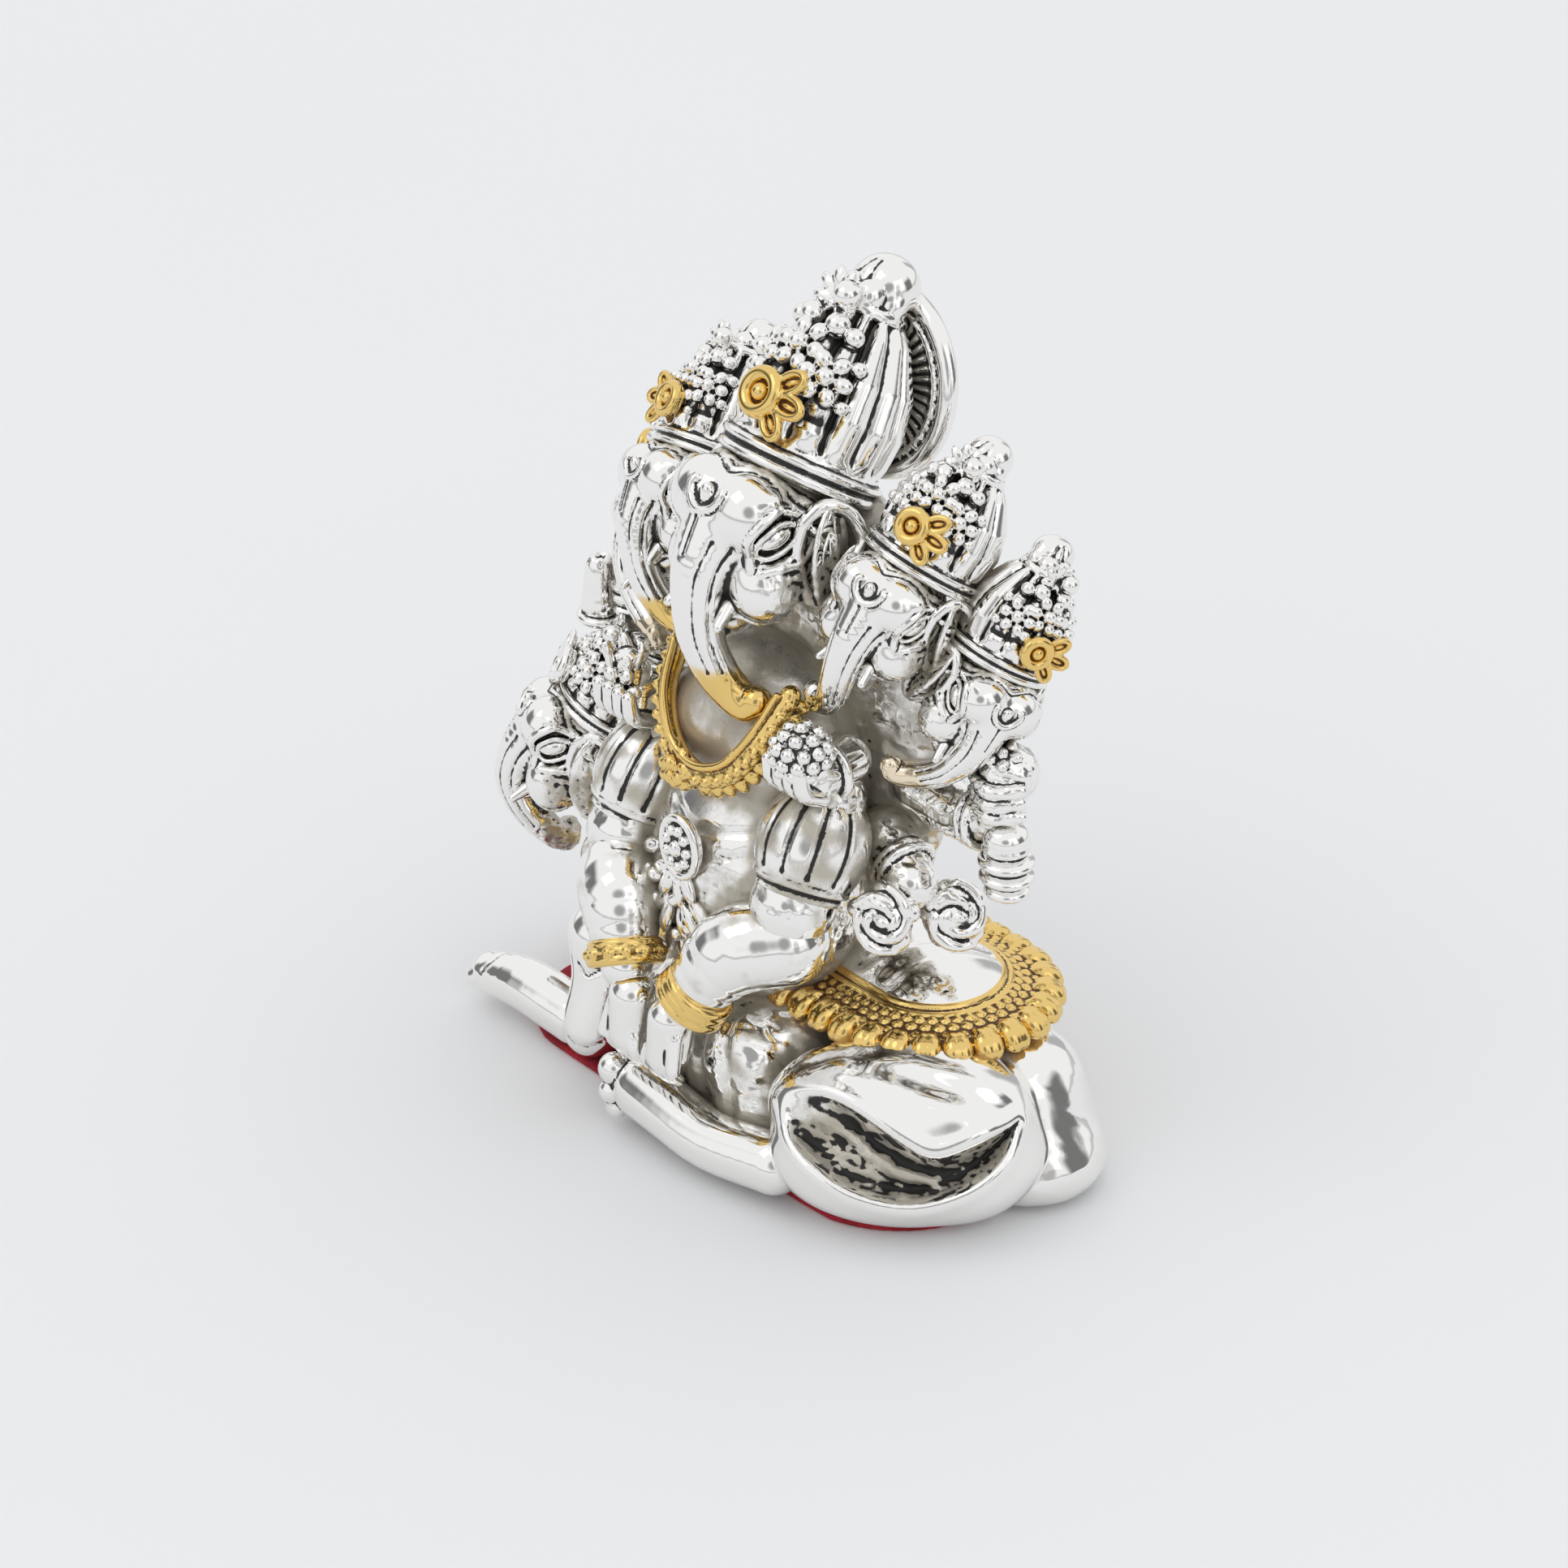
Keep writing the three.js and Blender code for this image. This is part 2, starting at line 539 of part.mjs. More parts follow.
const idol = new THREE.Group();
const placed = [];
for (const { name, finish, shape } of pieces) {
  let solid = shape(0);
  for (const earlier of placed) {
    if (overlapping(solid.boundingBox(), earlier.boundingBox())) {
      solid = solid.subtract(earlier);
    }
  }
  const mesh = new THREE.Mesh(geometryOf(mainBody(solid)), new THREE.MeshStandardMaterial(finish));
  mesh.name = name;
  idol.add(mesh);
  placed.push(shape(CLEARANCE));
}

// The whole piece is centred over its origin.
const extent = new THREE.Box3().setFromObject(idol);
idol.position.set(
  -(extent.min.x + extent.max.x) / 2, -(extent.min.y + extent.max.y) / 2, -extent.min.z);

export default idol;
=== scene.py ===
"""Looks of a seated many-headed elephant deity idol: silver plate, gold lacquer, velvet pad.

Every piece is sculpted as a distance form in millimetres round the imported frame, skinned,
and given a mask of its grooves and hollows that the plating materials read.
"""

import math

import bpy
import numpy as np
from bpy.props import FloatProperty, FloatVectorProperty, PointerProperty
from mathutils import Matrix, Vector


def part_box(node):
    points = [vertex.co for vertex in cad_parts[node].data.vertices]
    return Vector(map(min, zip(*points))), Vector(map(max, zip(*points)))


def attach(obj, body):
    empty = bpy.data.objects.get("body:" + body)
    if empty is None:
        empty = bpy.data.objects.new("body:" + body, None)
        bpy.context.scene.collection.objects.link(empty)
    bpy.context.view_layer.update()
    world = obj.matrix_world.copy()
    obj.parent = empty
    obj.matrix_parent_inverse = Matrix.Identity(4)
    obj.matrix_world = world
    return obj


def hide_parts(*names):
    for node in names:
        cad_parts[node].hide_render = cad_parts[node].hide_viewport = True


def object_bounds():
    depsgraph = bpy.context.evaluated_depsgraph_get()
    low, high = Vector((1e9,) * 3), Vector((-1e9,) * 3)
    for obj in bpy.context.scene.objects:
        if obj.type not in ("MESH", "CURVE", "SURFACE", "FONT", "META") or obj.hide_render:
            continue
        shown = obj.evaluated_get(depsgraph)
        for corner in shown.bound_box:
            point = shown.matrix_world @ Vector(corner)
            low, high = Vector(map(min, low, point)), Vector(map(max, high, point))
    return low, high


bl_info = {
    "name": "Seated elephant deity idol",
    "version": (1, 0, 0),
    "blender": (4, 5, 0),
    "location": "3D View > Sidebar > Idol",
    "description": "Sculpts a silver-plated table idol round its packed frame",
    "category": "Object",
}

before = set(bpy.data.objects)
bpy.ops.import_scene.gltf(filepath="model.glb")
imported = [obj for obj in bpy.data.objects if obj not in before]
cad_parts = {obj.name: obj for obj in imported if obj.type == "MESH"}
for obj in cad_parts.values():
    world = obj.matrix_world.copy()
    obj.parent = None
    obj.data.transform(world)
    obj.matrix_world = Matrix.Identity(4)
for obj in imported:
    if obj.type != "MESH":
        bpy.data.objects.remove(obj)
FRAME_LOW, FRAME_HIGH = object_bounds()
MM = 0.001  # metres in a millimetre, the unit that the forms are written in
SIDES = (1, -1)  # the idol's left is on the +X side


# ---- Places taken from the frame ---------------------------------------------------------
class Spot:
    """A frame node's box in millimetres. at() takes shares of its width, depth and height."""

    def __init__(self, node):
        low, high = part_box(node)
        self.low = np.array(low) / MM
        self.high = np.array(high) / MM
        self.size = self.high - self.low
        self.middle = (self.low + self.high) / 2

    def at(self, x, y, z):
        return self.low + self.size * np.array((x, y, z))

    def around(self, x, y, z):
        """A point given in millimetres from the box's middle."""
        return self.middle + np.array((x, y, z), float)

    def path(self, *points):
        """Points given as around() takes them."""
        return [self.around(*point) for point in points]

    def chain(self, *joints):
        """Joints of a strand: points as around() takes them, each with its radius."""
        return [(*self.around(x, y, z), radius) for x, y, z, radius in joints]


# ---- Forms: functions from points to distances -------------------------------------------
def single(values):
    return np.asarray(values, np.float32)


def norm(v):
    return np.sqrt(np.einsum("ij,ij->i", v, v))


def unit(v):
    v = np.asarray(v, float)
    return v / np.linalg.norm(v)


def axes(up, gaze):
    """Columns of a frame whose +Z is up and whose -Y is the gaze."""
    z = unit(up)
    y = -np.asarray(gaze, float)
    y = unit(y - z * (y @ z))
    return np.column_stack([np.cross(y, z), y, z])


def smooth_step(low, high, x):
    t = np.clip((x - low) / (high - low), 0, 1)
    return t * t * (3 - 2 * t)


def ball(centre, radii, turn=None):
    centre = single(centre)
    radii = single(np.broadcast_to(radii, 3))
    turned = None if turn is None else single(turn)

    def form(p):
        q = p - centre
        if turned is not None:
            q = q @ turned
        near = norm(q / radii)
        return near * (near - 1) / np.maximum(norm(q / (radii * radii)), 1e-6)

    return form


def curve(points, steps=4):
    """A smooth line through points of any number of columns."""
    points = np.asarray(points, float)
    if len(points) < 3:
        return points
    ends = np.vstack([2 * points[0] - points[1], points, 2 * points[-1] - points[-2]])
    line = []
    for i in range(len(points) - 1):
        a, b, c, d = ends[i : i + 4]
        for t in np.linspace(0, 1, steps, endpoint=False):
            cubic = (-a + 3 * b - 3 * c + d) * t**3
            line.append(0.5 * (2 * b + (c - a) * t + (2 * a - 5 * b + 4 * c - d) * t * t + cubic))
    line.append(points[-1])
    return np.array(line)


def along(p, line):
    """Distance to a chain of tapered stretches. line holds x, y, z and radius."""
    best = np.full(len(p), 1e3, np.float32)
    line = single(line)
    for a, b in zip(line[:-1], line[1:]):
        way = b[:3] - a[:3]
        q = p - a[:3]
        t = np.clip(q @ way / max(float(way @ way), 1e-9), 0, 1)
        d = norm(q - t[:, None] * way) - (a[3] + (b[3] - a[3]) * t)
        np.minimum(best, d, out=best)
    return best


def strand(points, steps=4):
    line = curve(points, steps)
    return lambda p: along(p, line)


def ring(centre, axis, radius, thick):
    centre = single(centre)
    axis = single(unit(axis))

    def form(p):
        q = p - centre
        height = q @ axis
        out = np.sqrt(np.maximum(np.einsum("ij,ij->i", q, q) - height * height, 0))
        return np.hypot(out - radius, height) - thick

    return form


def smooth_min(a, b, k):
    """The lesser of two distances, rounded where they meet within k."""
    h = np.clip(0.5 + 0.5 * (b - a) / k, 0, 1)
    return b + (a - b) * h - k * h * (1 - h)


def fuse(k, *forms):
    """Forms melted together over about k millimetres."""

    def form(p):
        d = forms[0](p)
        for other in forms[1:]:
            d = smooth_min(d, other(p), k)
        return d

    return form


def carve(k, body, tool):
    return lambda p: -smooth_min(-body(p), tool(p), k)


def cut_flat(body, foot):
    """A form cut off flat at the height of its foot."""
    return lambda p: np.maximum(body(p), foot - p[:, 2])


def bump(p, line, width):
    """1 on a line, falling to 0 over about twice the width."""
    line = np.asarray(line, float)[:, :3]
    out = np.zeros(len(p), np.float32)
    low = single(line.min(0) - 2.6 * width)
    high = single(line.max(0) + 2.6 * width)
    near = np.flatnonzero(((p > low) & (p < high)).all(1))
    if len(near):
        chain = np.column_stack([line, np.zeros(len(line))])
        out[near] = np.exp(-((along(p[near], chain) / width) ** 2))
    return out


def lined(body, lines, width, height):
    """Lines raised on a form, or cut in it where the height is negative."""

    def form(p):
        d = body(p)
        rise = np.zeros(len(p), np.float32)
        close = np.flatnonzero(np.abs(d) < 4 * width + 2)
        q = p[close]
        most = np.zeros(len(q), np.float32)
        for line in lines:
            np.maximum(most, bump(q, line, width), out=most)
        rise[close] = most
        return d - height * rise

    return form


def slope(form, p, step=0.05):
    """A form's distances at points, and how they rise along each axis."""
    d = form(p)
    g = [(form(p + single(np.eye(3)[k] * step)) - d) / step for k in range(3)]
    return d, np.column_stack(g)


def drape(body, points, lift=0.0, turns=8):
    """Points moved to the nearest place on a form's surface, then lifted off it."""
    p = single(points)[:, :3].copy()
    for _ in range(turns):
        d, g = slope(body, p)
        p -= g * (np.clip(d, -2, 2) / np.maximum(norm(g) ** 2, 0.3))[:, None]
    _, g = slope(body, p)
    return p + lift * g / np.maximum(norm(g), 1e-6)[:, None]


def cord_on(body, points, radius, lift=0.0, steps=4):
    """A raised cord lying on a form."""
    line = drape(body, curve(np.asarray(points, float)[:, :3], steps), lift)
    chain = np.column_stack([line, np.full(len(line), radius)])
    return lambda p: along(p, chain)


def ripple(p, scale, seed=0.0):
    """Smooth wandering values from -1 to 1 at a scale in millimetres."""
    q = p * single(6.28 / scale)
    x, y, z = q[:, 0] + seed, q[:, 1] - 1.7 * seed, q[:, 2] + 0.6 * seed
    a = np.sin(x + 1.3 * np.sin(0.7 * y + 0.4 * z)) * np.cos(0.9 * y - 0.5 * x)
    b = np.sin(1.1 * z + 1.1 * np.sin(0.8 * x - 0.6 * y)) * np.cos(0.6 * z + 0.7 * y)
    return 0.6 * a + 0.6 * b


def rough(body, height, scale, where=None, seed=0.0):
    """A form with a hammered, wandering surface, all over or where a weight says."""

    def form(p):
        d = body(p)
        wave = ripple(p, scale, seed) + 0.5 * ripple(p, scale * 0.45, seed + 3)
        if where is not None:
            wave = wave * where(p)
        return d - height * wave

    return form


def outline_distance(q, corners):
    """Signed distance in a plane to a closed outline, below 0 inside."""
    corners = single(corners)
    best = np.full(len(q), 1e6, np.float32)
    flips = np.zeros(len(q), bool)
    for a, b in zip(corners, np.roll(corners, -1, axis=0)):
        way = b - a
        r = q - a
        t = np.clip(r @ way / max(float(way @ way), 1e-9), 0, 1)
        off = r - t[:, None] * way
        np.minimum(best, off[:, 0] ** 2 + off[:, 1] ** 2, out=best)
        crosses = (a[1] > q[:, 1]) != (b[1] > q[:, 1])
        with np.errstate(divide="ignore", invalid="ignore"):
            x = a[0] + way[0] * (q[:, 1] - a[1]) / (way[1] if way[1] else 1e-9)
        flips ^= crosses & (q[:, 0] < x)
    return np.where(flips, -1, 1) * np.sqrt(best)


def lathe(profile):
    """A turned form about +Z from radius, height pairs."""
    mirrored = [(r, z) for r, z in profile] + [(-r, z) for r, z in reversed(profile)]

    def form(p):
        return outline_distance(np.column_stack([np.hypot(p[:, 0], p[:, 1]), p[:, 2]]), mirrored)

    return form


def placed(form, at, turn, size=1.0):
    """A form written in its own frame, put in place."""
    at, turn = single(at), single(turn)
    return lambda p: form(((p - at) @ turn) / size) * size


def rosette(centre, out, radius, petals, petal=0.42, heart=0.45, up=(0, 0, 1)):
    """A flower of round petals about a round heart, facing out."""
    z = unit(out)
    x = unit(np.cross(up, z))
    y = np.cross(z, x)
    centre = np.asarray(centre, float)
    parts = [ball(centre + z * radius * 0.25, radius * heart)]
    for i in range(petals):
        angle = 2 * math.pi * i / petals
        way = x * math.cos(angle) + y * math.sin(angle)
        turn = np.column_stack([way, np.cross(z, way), z])
        shape = (radius * petal * 1.1, radius * petal * 0.95, radius * petal * 0.8)
        parts.append(ball(centre + way * radius * 0.92, shape, turn))
    return fuse(radius * 0.06, *parts)


def leaf(base, tip, out, width, thick=0.5):
    """A leaf from its base to its tip with a cut midrib."""
    base, tip = np.asarray(base, float), np.asarray(tip, float)
    way = unit(tip - base)
    z = unit(np.asarray(out, float) - way * (np.asarray(out, float) @ way))
    turn = np.column_stack([way, np.cross(z, way), z])
    reach = np.linalg.norm(tip - base) / 2
    blade = ball((base + tip) / 2, (reach, width / 2, thick), turn)
    rib = np.vstack([base + z * thick * 0.7, tip + z * thick * 0.3])
    return lined(blade, [rib], 0.22, -0.3)


# ---- Skins --------------------------------------------------------------------------------
BLOCK = 8
CORNERS = np.array([(i, j, k) for i in (0, 1) for j in (0, 1) for k in (0, 1)])
EDGES = [(a, b) for a in range(8) for b in range(a + 1, 8) if abs(CORNERS[a] - CORNERS[b]).sum() == 1]


def field_of(form, low, high, step):
    """A form's distances on a grid, worked out fully only in blocks near its surface."""
    blocks = np.ceil((np.asarray(high) - low) / step / BLOCK).astype(int)
    origin = single(low)
    index = np.indices(blocks).reshape(3, -1).T
    centre = single(origin + (index * BLOCK + (BLOCK - 1) / 2) * step)
    far = form(centre)
    coarse = np.where(far < 0, -1.0, 1.0).astype(np.float32).reshape(blocks)
    field = np.empty((blocks[0], BLOCK, blocks[1], BLOCK, blocks[2], BLOCK), np.float32)
    field[:] = coarse[:, None, :, None, :, None]
    near = index[np.abs(far) < BLOCK * step * 0.87 * 1.35 + 1.2]
    offsets = np.indices((BLOCK,) * 3).reshape(3, -1).T
    for some in np.array_split(near, max(1, len(near) // 400)):
        points = single(origin + ((some[:, None] * BLOCK + offsets) * step).reshape(-1, 3))
        values = form(points).reshape(-1, BLOCK, BLOCK, BLOCK)
        field[some[:, 0], :, some[:, 1], :, some[:, 2], :] = values
    return field.reshape(blocks * BLOCK), origin


def net(field, origin, step):
    """Corners and faces of the surface where a field passes through zero."""
    inside = field < 0
    cells = np.zeros(np.array(field.shape) - 1, np.int8)
    for i, j, k in CORNERS:
        cells += inside[i : i + cells.shape[0], j : j + cells.shape[1], k : k + cells.shape[2]]
    mixed = (cells > 0) & (cells < 8)
    index = np.argwhere(mixed)
    values = np.stack([field[tuple((index + c).T)] for c in CORNERS])
    place = np.zeros((len(index), 3))
    count = np.zeros(len(index))
    for a, b in EDGES:
        crosses = (values[a] < 0) != (values[b] < 0)
        with np.errstate(divide="ignore", invalid="ignore"):
            t = np.where(crosses, values[a] / (values[a] - values[b]), 0)
        point = CORNERS[a] + t[:, None] * (CORNERS[b] - CORNERS[a])
        place += np.where(crosses[:, None], point, 0)
        count += crosses
    points = origin + (index + place / count[:, None]) * step
    number = np.full(mixed.shape, -1, np.int64)
    number[mixed] = np.arange(len(index))
    faces = []
    for axis in range(3):
        u, v = (axis + 1) % 3, (axis + 2) % 3
        first = np.moveaxis(inside, (axis, u, v), (0, 1, 2))
        labels = np.moveaxis(number, (axis, u, v), (0, 1, 2))
        change = first[:-1, 1:-1, 1:-1] != first[1:, 1:-1, 1:-1]
        i, j, k = np.nonzero(change)
        quad = np.stack(
            [labels[i, j, k], labels[i, j + 1, k], labels[i, j + 1, k + 1], labels[i, j, k + 1]], 1
        )
        outward = first[i, j + 1, k + 1]
        faces.append(np.where(outward[:, None], quad, quad[:, ::-1]))
    return points, np.vstack(faces)


def settled(form, points, step):
    """Corners moved onto the form itself, so that reflections run smoothly."""
    p = single(points)
    for _ in range(2):
        d, g = slope(form, p, 0.04)
        move = g * (d / np.maximum(norm(g) ** 2, 0.3))[:, None]
        p = p - np.clip(move, -0.6 * step, 0.6 * step)
    return p.astype(float)


def normals_of(points, faces):
    a, b, c, d = (points[faces[:, k]] for k in range(4))
    flat = np.cross(c - a, d - b)
    out = np.zeros_like(points)
    for k in range(4):
        for axis in range(3):
            out[:, axis] += np.bincount(faces[:, k], flat[:, axis], len(points))
    return out / np.maximum(np.linalg.norm(out, axis=1), 1e-9)[:, None]


def groove_depth(points, faces, normals, reach, step):
    """How far each corner lies below its neighbourhood, in millimetres."""
    ends = np.vstack([faces[:, [0, 1]], faces[:, [1, 2]], faces[:, [2, 3]], faces[:, [3, 0]]])
    shares = np.maximum(np.bincount(ends[:, 0], minlength=len(points)), 1)
    soft = points.copy()
    for _ in range(max(2, int(round(2 * (reach / step) ** 2)))):
        total = [np.bincount(ends[:, 0], soft[ends[:, 1], axis], len(points)) for axis in range(3)]
        soft = 0.5 * soft + 0.5 * np.column_stack(total) / shares[:, None]
    return np.einsum("ij,ij->i", soft - points, normals)


GROOVE_REACH = 0.6  # millimetres over which a corner's neighbourhood is taken
GROOVE_FULL = 0.1  # millimetres below it at which a groove is wholly black


class Skin:
    """A sculpted surface in its own frame: its corners and faces, and what shades each corner.

    A form may carry ink, which blackens like a groove and on the left leg is partly painted shadow, and
    dust with painted shade, which dulls like a hollow.
    """

    def __init__(self, form, low, high, step, gold=None):
        step = step * 1.0
        field, origin = field_of(form, np.asarray(low, float), np.asarray(high, float), step)
        points, self.faces = net(field, origin, step)
        self.form = form
        self.points = settled(form, points, step)
        normals = normals_of(self.points, self.faces)
        self.groove = groove_depth(self.points, self.faces, normals, GROOVE_REACH, step)
        if hasattr(form, "ink"):
            self.groove = self.groove + GROOVE_FULL * form.ink(single(self.points))
        self.dust_and_shade = form.dust_and_shade(single(self.points)) if hasattr(form, "dust_and_shade") else np.zeros(len(points))
        self.gold = np.zeros(len(points)) if gold is None else gold(self.points)


SKINS = {}  # sculpted surfaces that several pieces share
MADE = []  # what is made so far, for the hollows: object, form, corners in millimetres


def shared(name, make):
    if name not in SKINS:
        SKINS[name] = make()
    return SKINS[name]


def piece(node, skin, finish, at=(0, 0, 0), turn=None, size=1.0, mirror=False, gilding=0.0):
    """Puts a skin in place as the piece that stands for a frame node."""
    turn = np.eye(3) if turn is None else np.asarray(turn, float)
    flip = single((-1, 1, 1) if mirror else (1, 1, 1))
    points = (skin.points * flip * size) @ turn.T + np.asarray(at, float)
    faces = skin.faces[:, ::-1] if mirror else skin.faces
    mesh = bpy.data.meshes.new(node + "_cast")
    mesh.from_pydata((points * MM).tolist(), [], faces.tolist())
    mesh.shade_smooth()
    mask = mesh.color_attributes.new("Relief", "FLOAT_COLOR", "POINT")
    whole = np.ones(len(points))
    # red is the groove patina, green the dust and painted shade of the hollows, blue the gilding
    values = np.column_stack([skin.groove / GROOVE_FULL, skin.dust_and_shade, skin.gold * gilding, whole])
    values = np.clip(values, 0, 1)
    mask.data.foreach_set("color", values.astype(np.float32).ravel())
    made = bpy.data.objects.new(node + "_cast", mesh)
    bpy.context.scene.collection.objects.link(made)
    made.data.materials.append(finish)
    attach(made, "root")
    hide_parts(node)
    form = placed(lambda p: skin.form(p * flip), at, turn, size)
    MADE.append((made, form, points, faces))
    return made


def sculpt(node, form, finish, step=0.34, margin=1.6, gold=None, gilding=0.0):
    """Sculpts a piece where it stands, within its node's box and a margin."""
    spot = Spot(node)
    skin = Skin(form, spot.low - margin, spot.high + margin, step, gold)
    return piece(node, skin, finish, gilding=gilding)


# ---- Heads --------------------------------------------------------------------------------
SKULL = 9.6  # radius of the middle head's skull, to which every head is drawn
LEAN = math.radians(33)
SIDE_LEAN = math.radians(25)
CROWN_FOOT = np.array((0, 0.62 * SKULL, 0.55 * SKULL))


def lean_turn(angle):
    c, s = math.cos(angle), math.sin(angle)
    return np.array(((1, 0, 0), (0, c, s), (0, -s, c)))


# share of the box at the head's middle, size over box height, up, gaze, trunk curl, gilding
HEADS = {
    "middle": ((0.5, 0.5878, 0.688), 0.03125, (0, 0, 1), (0, -1, 0), 1, 1.0),
    "inner_left": (
        (0.5351, 0.5909, 0.6726), 0.03394, (0.255, 0.045, 0.966), (0.174, -0.985, 0), -1, 0.0),
    "inner_right": (
        (0.4649, 0.576, 0.6726), 0.03394, (-0.255, 0.045, 0.966), (-0.174, -0.985, 0), 1, 1.0),
    "outer_left": (
        (0.5761, 0.5431, 0.6184), 0.03613, (0.64, 0.21, 0.74), (0.7, -0.57, -0.44), -1, 0.45),
    "outer_right": (
        (0.4176, 0.5431, 0.6184), 0.03613, (-0.64, 0.21, 0.74), (-0.7, -0.57, -0.44), 1, 0.45),
    "side": ((0.448, 0.4908, 0.6892), 0.03117, (0, 0.05, 1), (-0.62, -0.78, 0), -1, 0.0),
}


def head_place(word):
    share, factor, up, gaze, curl, gilding = HEADS[word]
    spot = Spot(word + "_head")
    return spot.at(*share), axes(up, gaze), factor * spot.size[2], curl < 0, gilding


def eye_on(body, side):
    """Lids, eyeball and brow of one eye, and the socket they sit in."""
    middle = drape(body, [(side * 8.0, -3.6, 3.4)])[0]
    _, out = slope(body, single([middle]))
    out = unit(out[0])
    back = np.array((side * 0.3, 0.92, 0.22))
    back = unit(back - out * (back @ out))
    rise = np.cross(out, back)
    rise = rise if rise[2] > 0 else -rise
    turn = np.column_stack([back, rise, out])

    def line(points, radius, lift):
        spots = [middle + back * a * 1.15 + rise * b * 1.15 for a, b in points]
        return cord_on(body, spots, radius, lift)

    socket = ball(middle - out * 0.1, (4.3, 3.0, 1.8), turn)
    eyeball = ball(middle - out * 0.85, (2.3, 1.3, 1.25), turn)
    lids = [
        line([(-3.2, -0.9), (-1.9, 0.9), (0.2, 1.6), (2.2, 1.0), (3.5, -0.3)], 0.42, -0.25),
        line([(-3.2, -0.9), (-1.4, -1.7), (0.8, -1.6), (3.5, -0.3)], 0.36, -0.3),
        line([(-4.4, -1.6), (-3.4, 1.6), (-0.6, 3.2), (2.4, 2.9), (4.6, 1.1)], 0.6, -0.1),
        line([(-2.6, -3.1), (0, -3.9), (2.8, -3.2), (4.8, -1.5)], 0.5, -0.15),
        line([(-1.0, -5.1), (1.6, -5.2), (4.2, -3.6)], 0.45, -0.15),
    ]
    return socket, eyeball, lids


def head_form(tuck=0.0):
    """An elephant's head on calm devotional lines. Its trunk tip turns to +X."""
    skull = ball((0, 0.8, 0.4), (9.1, 8.7, 9.8))
    brows = [ball((s * 3.5, -4.3, 5.4), (4.9, 4.5, 4.9)) for s in SIDES]
    cheeks = [ball((s * 5.6, -3.4, -3.6), (4.3, 4.5, 4.6)) for s in SIDES]
    jaw = ball((0, -4.0 + tuck * 0.2, -8.4), (3.8, 3.6, 3.4))
    trunk = [
        (0, -5.8, 3.5, 4.4), (0, -8.6, -1.0, 3.7), (0.2, -9.6, -5.5, 3.2),
        (0.5, -9.4 + tuck * 0.2, -10, 2.9), (1.3, -8.2 + tuck * 0.5, -14.4, 2.65),
        (2.7, -6.8 + tuck * 0.8, -17.6, 2.45), (4.8, -5.8 + tuck, -19.4, 2.25),
        (6.2, -5.4 + tuck, -18.6, 2.0),
    ]
    body = fuse(1.1, fuse(2.0, skull, *brows, *cheeks, jaw), strand(trunk))
    body = fuse(0.7, body, *[ball((s * 6.6, -3.9, 8.0), (1.7, 1.6, 1.3)) for s in SIDES])
    extras = []
    sockets = []
    for side in SIDES:
        socket, eyeball, lids = eye_on(body, side)
        sockets.append(socket)
        extras += [eyeball, *lids]
        # tusk stub, and the lip that it comes out of
        extras.append(strand([(side * 3.6, -7.4, -6.0, 1.1), (side * 4.5, -10.0, -7.6, 0.65)]))
        lip = [(side * 3.9, -8.0, -8.2), (side * 5.6, -5.6, -8.2), (side * 7, -2, -6.2)]
        extras.append(cord_on(body, lip, 0.55))
    loop = [(-2.1, 11.0), (-2.5, 9.2), (-1.8, 7.2), (0, 6.2), (1.8, 7.2), (2.5, 9.2), (2.1, 11.0)]
    extras.append(cord_on(body, [(x, -9, z) for x, z in loop], 0.5, 0.05))
    extras.append(ball(drape(body, [(0, -9, 9.4)])[0], (1.0, 0.9, 1.5)))
    crown = lean_turn(LEAN)
    for height, reach, thick in ((-0.9, 9.5, 0.6), (-2.5, 9.8, 0.45)):
        turns = np.radians(np.linspace(-128, 128, 15))
        band = [CROWN_FOOT + crown @ (reach * math.sin(a), -reach * math.cos(a), height) for a in turns]
        extras.append(cord_on(body, band, thick, 0.1, 2))
    ears = []
    for s in SIDES:
        edge = [
            (8.6, 0.0, 4.6), (9.6, 2.6, 6.6), (11.0, 5.6, 4.8), (11.7, 6.8, 0.6), (11.3, 5.6, -4.0),
            (10.4, 3.4, -7.6), (9.4, 1.2, -6.4), (8.8, -0.6, -2.6), (8.4, -0.8, 1.4), (8.6, 0.0, 4.6),
        ]
        blade = ball((s * 10.1, 2.9, -0.4), (1.0, 4.0, 6.8), axes((0, 0, 1), (s * 0.32, -0.95, 0)))
        rim = strand([(s * x, y, z, 0.85) for x, y, z in edge], 3)
        fold = strand([(s * 9.7, 0.9, 3.8, 0.5), (s * 10.6, 3.0, 2.4, 0.6), (s * 10.7, 3.2, -3.2, 0.45)])
        ears.append(fuse(0.35, blade, rim, fold))
    lines = []
    for lean in (38, -38, 78, -78):
        a = math.radians(lean)
        path = [(0, -5.8, 3.0, 4.4), *trunk[1:5]]
        spots = [(x + r * math.sin(a), y - r * math.cos(a), z) for x, y, z, r in path]
        lines.append(drape(body, curve(spots, 3)))
    lines.append(drape(body, curve([(0, -9.6, 5.6), (0, -10.4, 3.5), (0, -12, 1.4)], 3)))
    grown = carve(0.5, body, fuse(0.2, *sockets))
    grown = lined(grown, lines, 0.3, -0.55)
    whole = fuse(0.22, grown, *extras, *ears)

    def cheek_wear(p):
        behind = smooth_step(-4.5, -1.5, p[:, 1]) * (1 - smooth_step(6.5, 7.5, np.abs(p[:, 0] * 0.9)))
        low = 1 - smooth_step(-2, 3, p[:, 2])
        return np.clip(behind + 0.9 * low * smooth_step(-8, -3, p[:, 1]), 0, 1)

    form = rough(whole, 0.16, 2.6, cheek_wear, 1.0)
    form.dust_and_shade = lambda p: 0.55 * cheek_wear(p)
    pits = fuse(0.2, *sockets)
    form.ink = lambda p: 0.9 * (1 - smooth_step(-0.4, 0.15, pits(p))) * smooth_step(0.05, 0.35, -body(p))
    return form


